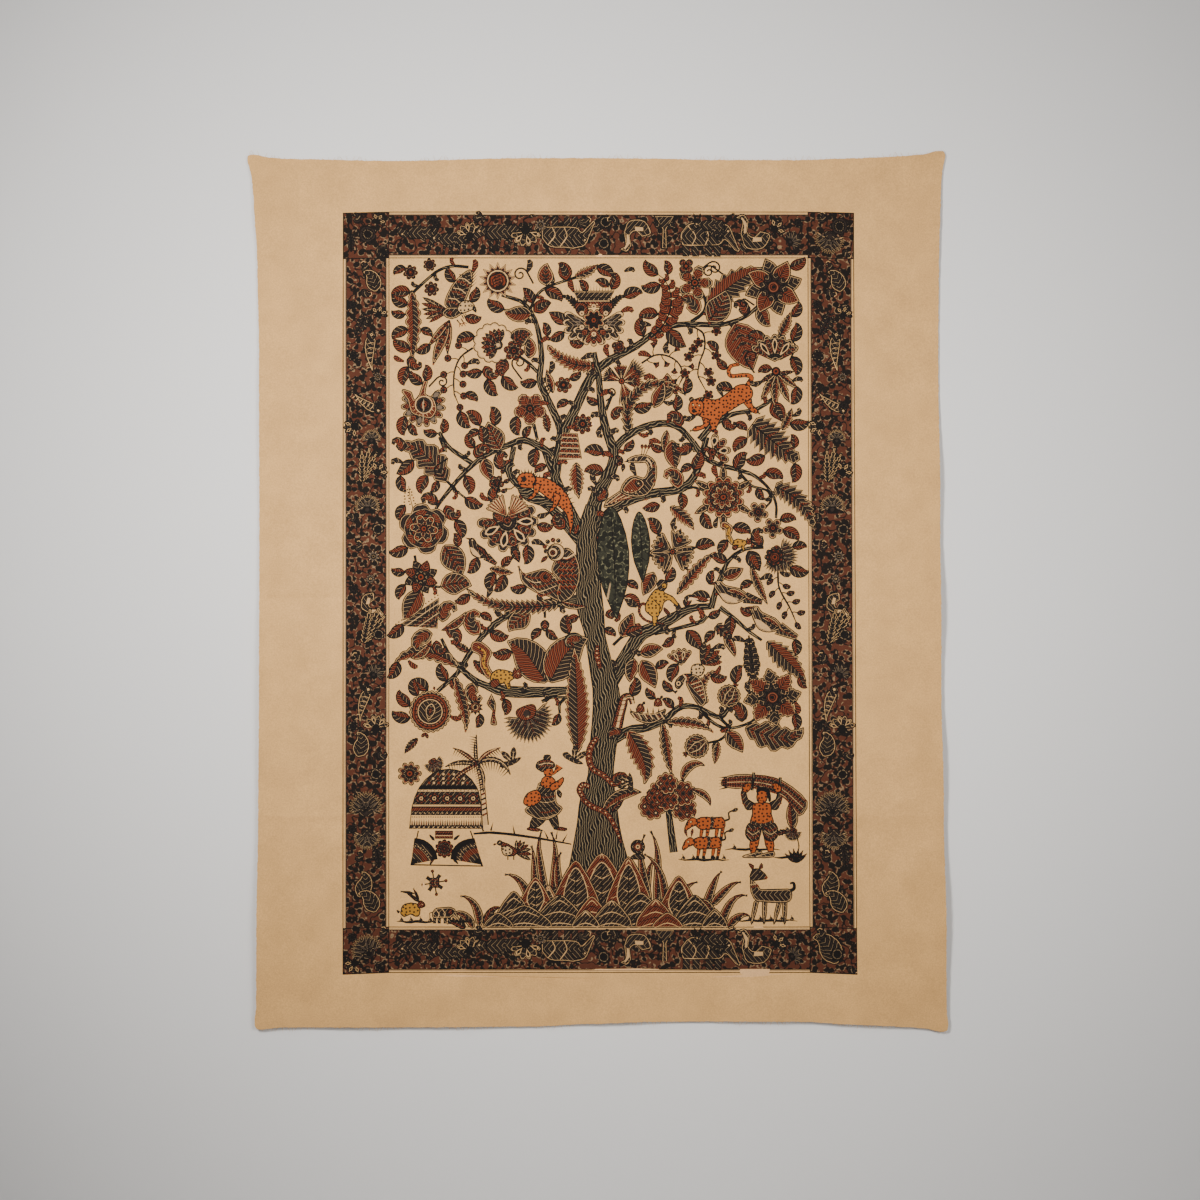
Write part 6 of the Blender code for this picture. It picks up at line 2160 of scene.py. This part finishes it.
def frayed_threads(outline, hang):
    """Loose ends of yarn along the two cut edges, each from 3 to 9 mm long."""
    shape = bmesh.new()
    for k, ((x, z), out) in enumerate(zip(outline[::2], -sideways(outline, True)[::2])):
        if abs(out[1]) < 0.8:
            continue
        length = THREAD_ENDS[0] + THREAD_ENDS[1] * (0.5 + 0.5 * math.sin(k * 12.9)) ** 2
        aim = Vector((out[0] + 0.7 * math.sin(k * 7.7), -0.25 * (0.5 + 0.5 * math.sin(k * 5.1)), out[1]))
        depth = float(hang.at(np.array([x]), np.array([z]))[0]) + SHEET / 2
        root = Vector((x, depth, z)) - 0.001 * Vector((out[0], 0, out[1]))
        turn = aim.to_track_quat("Z", "Y").to_matrix().to_4x4()
        place = Matrix.Translation(root + aim.normalized() * length / 2) @ turn
        bmesh.ops.create_cone(shape, cap_ends=True, segments=5, radius1=YARN / 2, radius2=YARN / 4,
                              depth=length, matrix=place)
    return placed("frayed_threads", shape)


# ---- Materials --------------------------------------------------------------------------------------


def linear(colour):
    """An sRGB hex colour as linear red, green, blue and alpha."""
    parts = [int(colour[k:k + 2], 16) / 255 for k in (1, 3, 5)]
    return [c / 12.92 if c <= 0.04045 else ((c + 0.055) / 1.055) ** 2.4 for c in parts] + [1]


def add(tree, kind, *links, out=0, **settings):
    """A node with its settings. Links fill its inputs in order, and other names are inputs' own."""
    node = tree.nodes.new("ShaderNode" + kind)
    for name, value in [*enumerate(links), *settings.items()]:
        if isinstance(name, str) and hasattr(node, name):
            setattr(node, name, value)
            continue
        socket = node.inputs[name if isinstance(name, int) else name.replace("_", " ")]
        if isinstance(value, bpy.types.NodeSocket):
            tree.links.new(value, socket)
        else:
            socket.default_value = value
    return node.outputs[out]


def set_steps(ramp, values):
    """Makes a colour ramp hold one value for each dye."""
    ramp.interpolation = "CONSTANT"
    while len(ramp.elements) < len(values):
        ramp.elements.new(1.0)
    for number, (stop, value) in enumerate(zip(ramp.elements, values)):
        stop.position = number / len(values)
        stop.color = value


# What each dye gives: its own colour, the line drawn over it, and the pale reserve left between lines.
DYES = (
    # name, dye, pen line, reserve, pattern
    ("bare myrobalan cotton", "#C69A60", "#C69A60", "#C69A60", "none"),
    ("iron black", "#0D0907", "#0D0907", "#0D0907", "none"),
    ("iron over madder", "#271C16", "#0D0907", "#8F7450", "veins"),
    ("madder red", "#652811", "#150C08", "#6F4630", "veins"),
    ("pale madder", "#8E4216", "#1C0F09", "#8E4216", "spots"),
    ("pomegranate rind", "#96681F", "#2B1D0F", "#96681F", "spots"),
    ("reserved line", "#AE895A", "#AE895A", "#AE895A", "none"),
    ("indigo over iron", "#26251B", "#15140E", "#5C5840", "scrolls"),
    ("indigo over rind", "#211B15", "#0E0B08", "#84704F", "bark"),
    ("thin iron", "#5F4F3F", "#5F4F3F", "#5F4F3F", "none"),
    ("speckled reserve", "#AE8B5C", "#1E150E", "#AE8B5C", "spots"),
    ("border madder", "#482517", "#120C08", "#786045", "scrolls"),
    ("border iron", "#241B16", "#0D0907", "#7E6748", "veins"),
    ("back of the cloth", "#CDA270", "#CDA270", "#CDA270", "none"),
    ("dye gone through", "#8F7452", "#8F7452", "#8F7452", "none"),
)
PATTERNS = {"none": (0, 0, 0, 0), "veins": (1, 0, 0, 0), "bark": (0, 1, 0, 0), "spots": (0, 0, 1, 0),
            "scrolls": (0, 0, 0, 1)}

VEIN_PITCH = 0.40  # cm between pen lines
BARK_PITCH = 0.40  # cm
SPOT_PITCH = 0.62  # cm
WOBBLE = 0.009  # m, between one waver of the hand and the next
STEM_PITCH = 0.015  # m, between the border's wandering stems
PACKED_LEAF = 0.0105  # m, from leaf to leaf in the border
RIM_BREAK = 0.006  # m, between breaks in the reserve round a leaf
THREAD = 0.0011  # m; the real 0.5 mm between threads is too fine to show, so they are drawn this coarse


def dyed_cotton():
    """Hand-loomed cotton, matt, with dyes that sink in: no gloss, a weave, and uneven colour."""
    material = bpy.data.materials.new("dyed_handloom_cotton")
    material.use_nodes = True
    tree = material.node_tree
    shader = tree.nodes["Principled BSDF"]
    place = add(tree, "TexCoord", out="Object")
    number = add(tree, "Attribute", attribute_name="dye", out="Fac")
    share = add(tree, "Math", add(tree, "Math", number, 0.5), len(DYES), operation="DIVIDE")
    columns = []
    patterns = [PATTERNS[row[4]] for row in DYES]
    for values in [[linear(row[k]) for row in DYES] for k in (1, 2, 3)] + [patterns]:
        columns.append(add(tree, "ValToRGB", share))
        set_steps(columns[-1].node.color_ramp, values)
    ground, pen, reserve, pattern = columns
    split = add(tree, "SeparateColor", pattern).node.outputs
    veined, barked, spotted, scrolled = split[0], split[1], split[2], pattern.node.outputs["Alpha"]

    hatch = add(tree, "SeparateXYZ", add(tree, "Attribute", attribute_name="hatch",
                                         out="Vector")).node.outputs
    along, off = hatch[0], hatch[1]
    wobble = add(tree, "TexNoise", place, Scale=1 / WOBBLE, Detail=1.0)
    # A hand that wavers by half a millimetre.
    waver = add(tree, "Math", add(tree, "Math", wobble, 0.5, operation="SUBTRACT"), 0.34,
                operation="MULTIPLY")

    # Veins: pen lines that run back from the spine, with the reserve showing between every second pair.
    away = add(tree, "Math", off, operation="ABSOLUTE")
    swept = add(tree, "Math", add(tree, "Math", away, -0.9, along, operation="MULTIPLY_ADD"), waver)
    turn = add(tree, "Math", swept, 2 * math.pi / VEIN_PITCH, operation="MULTIPLY")
    wave = add(tree, "Math", turn, operation="SINE")
    slow = add(tree, "Math", add(tree, "Math", turn, 0.5, 1.2, operation="MULTIPLY_ADD"), operation="SINE")
    vein_line = add(tree, "MapRange", wave, 0.0, 0.30)
    vein_gap = add(tree, "Math", add(tree, "MapRange", wave, -0.45, -0.70),
                   add(tree, "MapRange", slow, 0.15, 0.40), operation="MULTIPLY")

    # Bark: long lines that run with the limb and wander.
    bend = add(tree, "Math", add(tree, "Math", along, 1.5, add(tree, "Math", off, 2.0, operation="MULTIPLY"),
                                 operation="MULTIPLY_ADD"), operation="SINE")
    grain = add(tree, "Math", bend, 0.13, add(tree, "Math", waver, 1.6, off, operation="MULTIPLY_ADD"),
                operation="MULTIPLY_ADD")
    rings = add(tree, "Math", add(tree, "Math", grain, 2 * math.pi / BARK_PITCH, operation="MULTIPLY"),
                operation="SINE")
    bark_line = add(tree, "MapRange", rings, -0.15, 0.15)
    bark_gap = add(tree, "MapRange", rings, -0.78, -0.93)

    # Spots: a pelt or a speckled breast.
    cells = add(tree, "TexVoronoi", add(tree, "CombineXYZ", along, off), voronoi_dimensions="2D",
                Scale=1 / SPOT_PITCH, Randomness=0.55)
    spot_line = add(tree, "MapRange", cells, 0.30, 0.22)

    # Scrolls: wandering stems and packed leaves, each leaf with a thin reserve round part of it.
    drift = add(tree, "Math", add(tree, "TexNoise", place, Scale=1 / STEM_PITCH, Detail=1.0), 0.5,
                operation="SUBTRACT")
    stem_line = add(tree, "MapRange", add(tree, "Math", drift, operation="ABSOLUTE"), 0.040, 0.026)
    packed = add(tree, "TexVoronoi", place, Scale=1 / PACKED_LEAF, Randomness=0.9)
    near = add(tree, "Math", waver, 2.0, packed, operation="MULTIPLY_ADD")
    scroll_line = add(tree, "Math", stem_line, add(tree, "MapRange", near, 0.46, 0.40), operation="MAXIMUM")
    broken = add(tree, "MapRange", add(tree, "TexNoise", place, Scale=1 / RIM_BREAK, Detail=1.0), 0.46, 0.54)
    scroll_gap = add(tree, "Math", add(tree, "MapRange", near, 0.56, 0.52), broken, operation="MULTIPLY")

    line = gap = 0.0
    for taken, its_line, its_gap in ((veined, vein_line, vein_gap), (barked, bark_line, bark_gap),
                                     (spotted, spot_line, 0.0), (scrolled, scroll_line, scroll_gap)):
        line = add(tree, "Math", its_line, taken, line, operation="MULTIPLY_ADD")
        gap = add(tree, "Math", its_gap, taken, gap, operation="MULTIPLY_ADD")
    colour = add(tree, "MixRGB", gap, ground, reserve)
    colour = add(tree, "MixRGB", line, colour, pen)

    # The dye took unevenly: paler and darker over centimetres, and thin where threads stand proud.
    uneven = add(tree, "MapRange", add(tree, "TexNoise", place, Scale=1 / 0.05, Detail=4.0, Roughness=0.6),
                 0.3, 0.7, 0.90, 1.08)
    fine = add(tree, "MapRange", add(tree, "TexNoise", place, Scale=1 / 0.0022, Roughness=0.6), 0.3, 0.7,
               0.88, 1.12)
    tone = add(tree, "Math", uneven, fine, operation="MULTIPLY")
    colour = add(tree, "MixRGB", 1.0, colour, add(tree, "CombineColor", tone, tone, tone),
                 blend_type="MULTIPLY")

    # Plain weave: warp and weft threads pass over and under by turns, with slubs in the hand-spun yarn.
    axes = add(tree, "SeparateXYZ", place).node.outputs
    waves = [add(tree, "Math", add(tree, "Math", axis, math.pi / THREAD, operation="MULTIPLY"),
                 operation="SINE") for axis in (axes[0], axes[2])]
    weave = add(tree, "Math", *waves, operation="MULTIPLY")
    slub = add(tree, "TexNoise", place, Scale=1 / 0.004, Detail=3.0, Roughness=0.7)
    height = add(tree, "Math", weave, 0.5, slub, operation="MULTIPLY_ADD")
    bump = add(tree, "Bump", Height=height, Distance=0.0004, Strength=0.35)
    tree.links.new(colour, shader.inputs["Base Color"])
    tree.links.new(bump, shader.inputs["Normal"])
    shader.inputs["Roughness"].default_value = 0.92
    shader.inputs["Specular IOR Level"].default_value = 0.18
    shader.inputs["Sheen Weight"].default_value = 0.06
    shader.inputs["Sheen Roughness"].default_value = 0.6
    return material


def painted_wall():
    """Matt white emulsion on plaster, with the faint orange peel of a roller. Clear from behind."""
    material = bpy.data.materials.new("matt_white_emulsion")
    material.use_nodes = True
    tree = material.node_tree
    shader = tree.nodes["Principled BSDF"]
    peel = add(tree, "TexNoise", add(tree, "TexCoord", out="Object"), Scale=220.0)
    bump = add(tree, "Bump", Height=peel, Distance=0.0006, Strength=0.25)
    tree.links.new(bump, shader.inputs["Normal"])
    shader.inputs["Base Color"].default_value = linear("#D9D9D9")
    shader.inputs["Roughness"].default_value = 0.85
    behind = add(tree, "NewGeometry", out="Backfacing")
    both = add(tree, "MixShader", behind, shader.outputs[0], add(tree, "BsdfTransparent"))
    tree.links.new(both, tree.nodes["Material Output"].inputs[0])
    return material


# ---- Stage, light and camera ------------------------------------------------------------------------

VIEW_WIDTH = 1.938  # metres of wall across the frame
VIEW_MIDDLE = (0.002, -0.711)  # across and up
VIEW_DISTANCE = 5.0
LAMP_SPREAD = math.radians(66)
LAMPS = (
    # name, place, where it points, size, watts, colour
    ("window", (-1.25, -2.5, 0.15), (-0.05, 0, -0.55), 0.7, 18.5, "#FFFBF6"),
    ("room", (1.35, -2.5, -0.35), (0.05, 0, -0.55), 1.8, 11, "#FFFAF4"),
    ("behind", (0.6, 3.0, 0.4), (0, 0, -0.7), 2.0, 50, "#FFFFFF"),
)
DAYLIGHT = ("#E8E8EA", 0.22)  # colour and strength of the light from all round
STAGE = (
    # name, middle, half width, half height or depth, tilt
    ("wall", (0, 0.0005, -0.2), 3, 1.6, math.pi / 2),
    ("floor", (0, -1, -1.8), 3, 3, 0),
)


def stage():
    """A wall that just clears the cloth, and the floor below it."""
    paint = painted_wall()
    for name, middle, half_width, half_height, tilt in STAGE:
        shape = bmesh.new()
        size = Matrix.Diagonal((half_width, half_height, 1, 1))
        turn = Matrix.Translation(middle) @ Matrix.Rotation(tilt, 4, "X")
        bmesh.ops.create_grid(shape, x_segments=1, y_segments=1, size=1, matrix=turn @ size)
        piece = placed(name, shape)
        piece.data.materials.append(paint)


def light():
    """Soft lamps before the cloth and one behind it, with a little light from all round."""
    for name, place, aim, size, watts, colour in LAMPS:
        lamp = bpy.data.lights.new(name, "AREA")
        lamp.shape = "DISK"
        lamp.size = size
        lamp.energy = watts
        lamp.color = linear(colour)[:3]
        lamp.spread = LAMP_SPREAD
        piece = bpy.data.objects.new(name, lamp)
        piece.location = place
        piece.rotation_euler = (Vector(aim) - Vector(place)).to_track_quat("-Z", "Y").to_euler()
        bpy.context.scene.collection.objects.link(piece)
    world = bpy.data.worlds.new("room")
    world.use_nodes = True
    world.node_tree.nodes["Background"].inputs[0].default_value = linear(DAYLIGHT[0])
    world.node_tree.nodes["Background"].inputs[1].default_value = DAYLIGHT[1]
    bpy.context.scene.world = world


def camera():
    """The camera, square on to the wall."""
    lens = bpy.data.cameras.new("camera")
    lens.sensor_width = 36
    lens.lens = lens.sensor_width * VIEW_DISTANCE / VIEW_WIDTH
    piece = bpy.data.objects.new("camera", lens)
    piece.location = (VIEW_MIDDLE[0], -VIEW_DISTANCE, VIEW_MIDDLE[1])
    piece.rotation_euler = (math.pi / 2, 0, 0)
    bpy.context.scene.collection.objects.link(piece)
    bpy.context.scene.camera = piece


# ---- Making it --------------------------------------------------------------------------------------

border()
tree()
leaves()
flowers()
foot_of_the_tree()
creatures()
gap_leaves(-32.4, 32.6, 17.4, 91.0, 0.92)
panel, hang, outline = cloth()
threads = frayed_threads(outline, hang)
cotton = dyed_cotton()
for piece in (panel, threads):
    piece.data.materials.append(cotton)
    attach(piece, "root")
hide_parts("cloth_panel")
stage()
light()
camera()
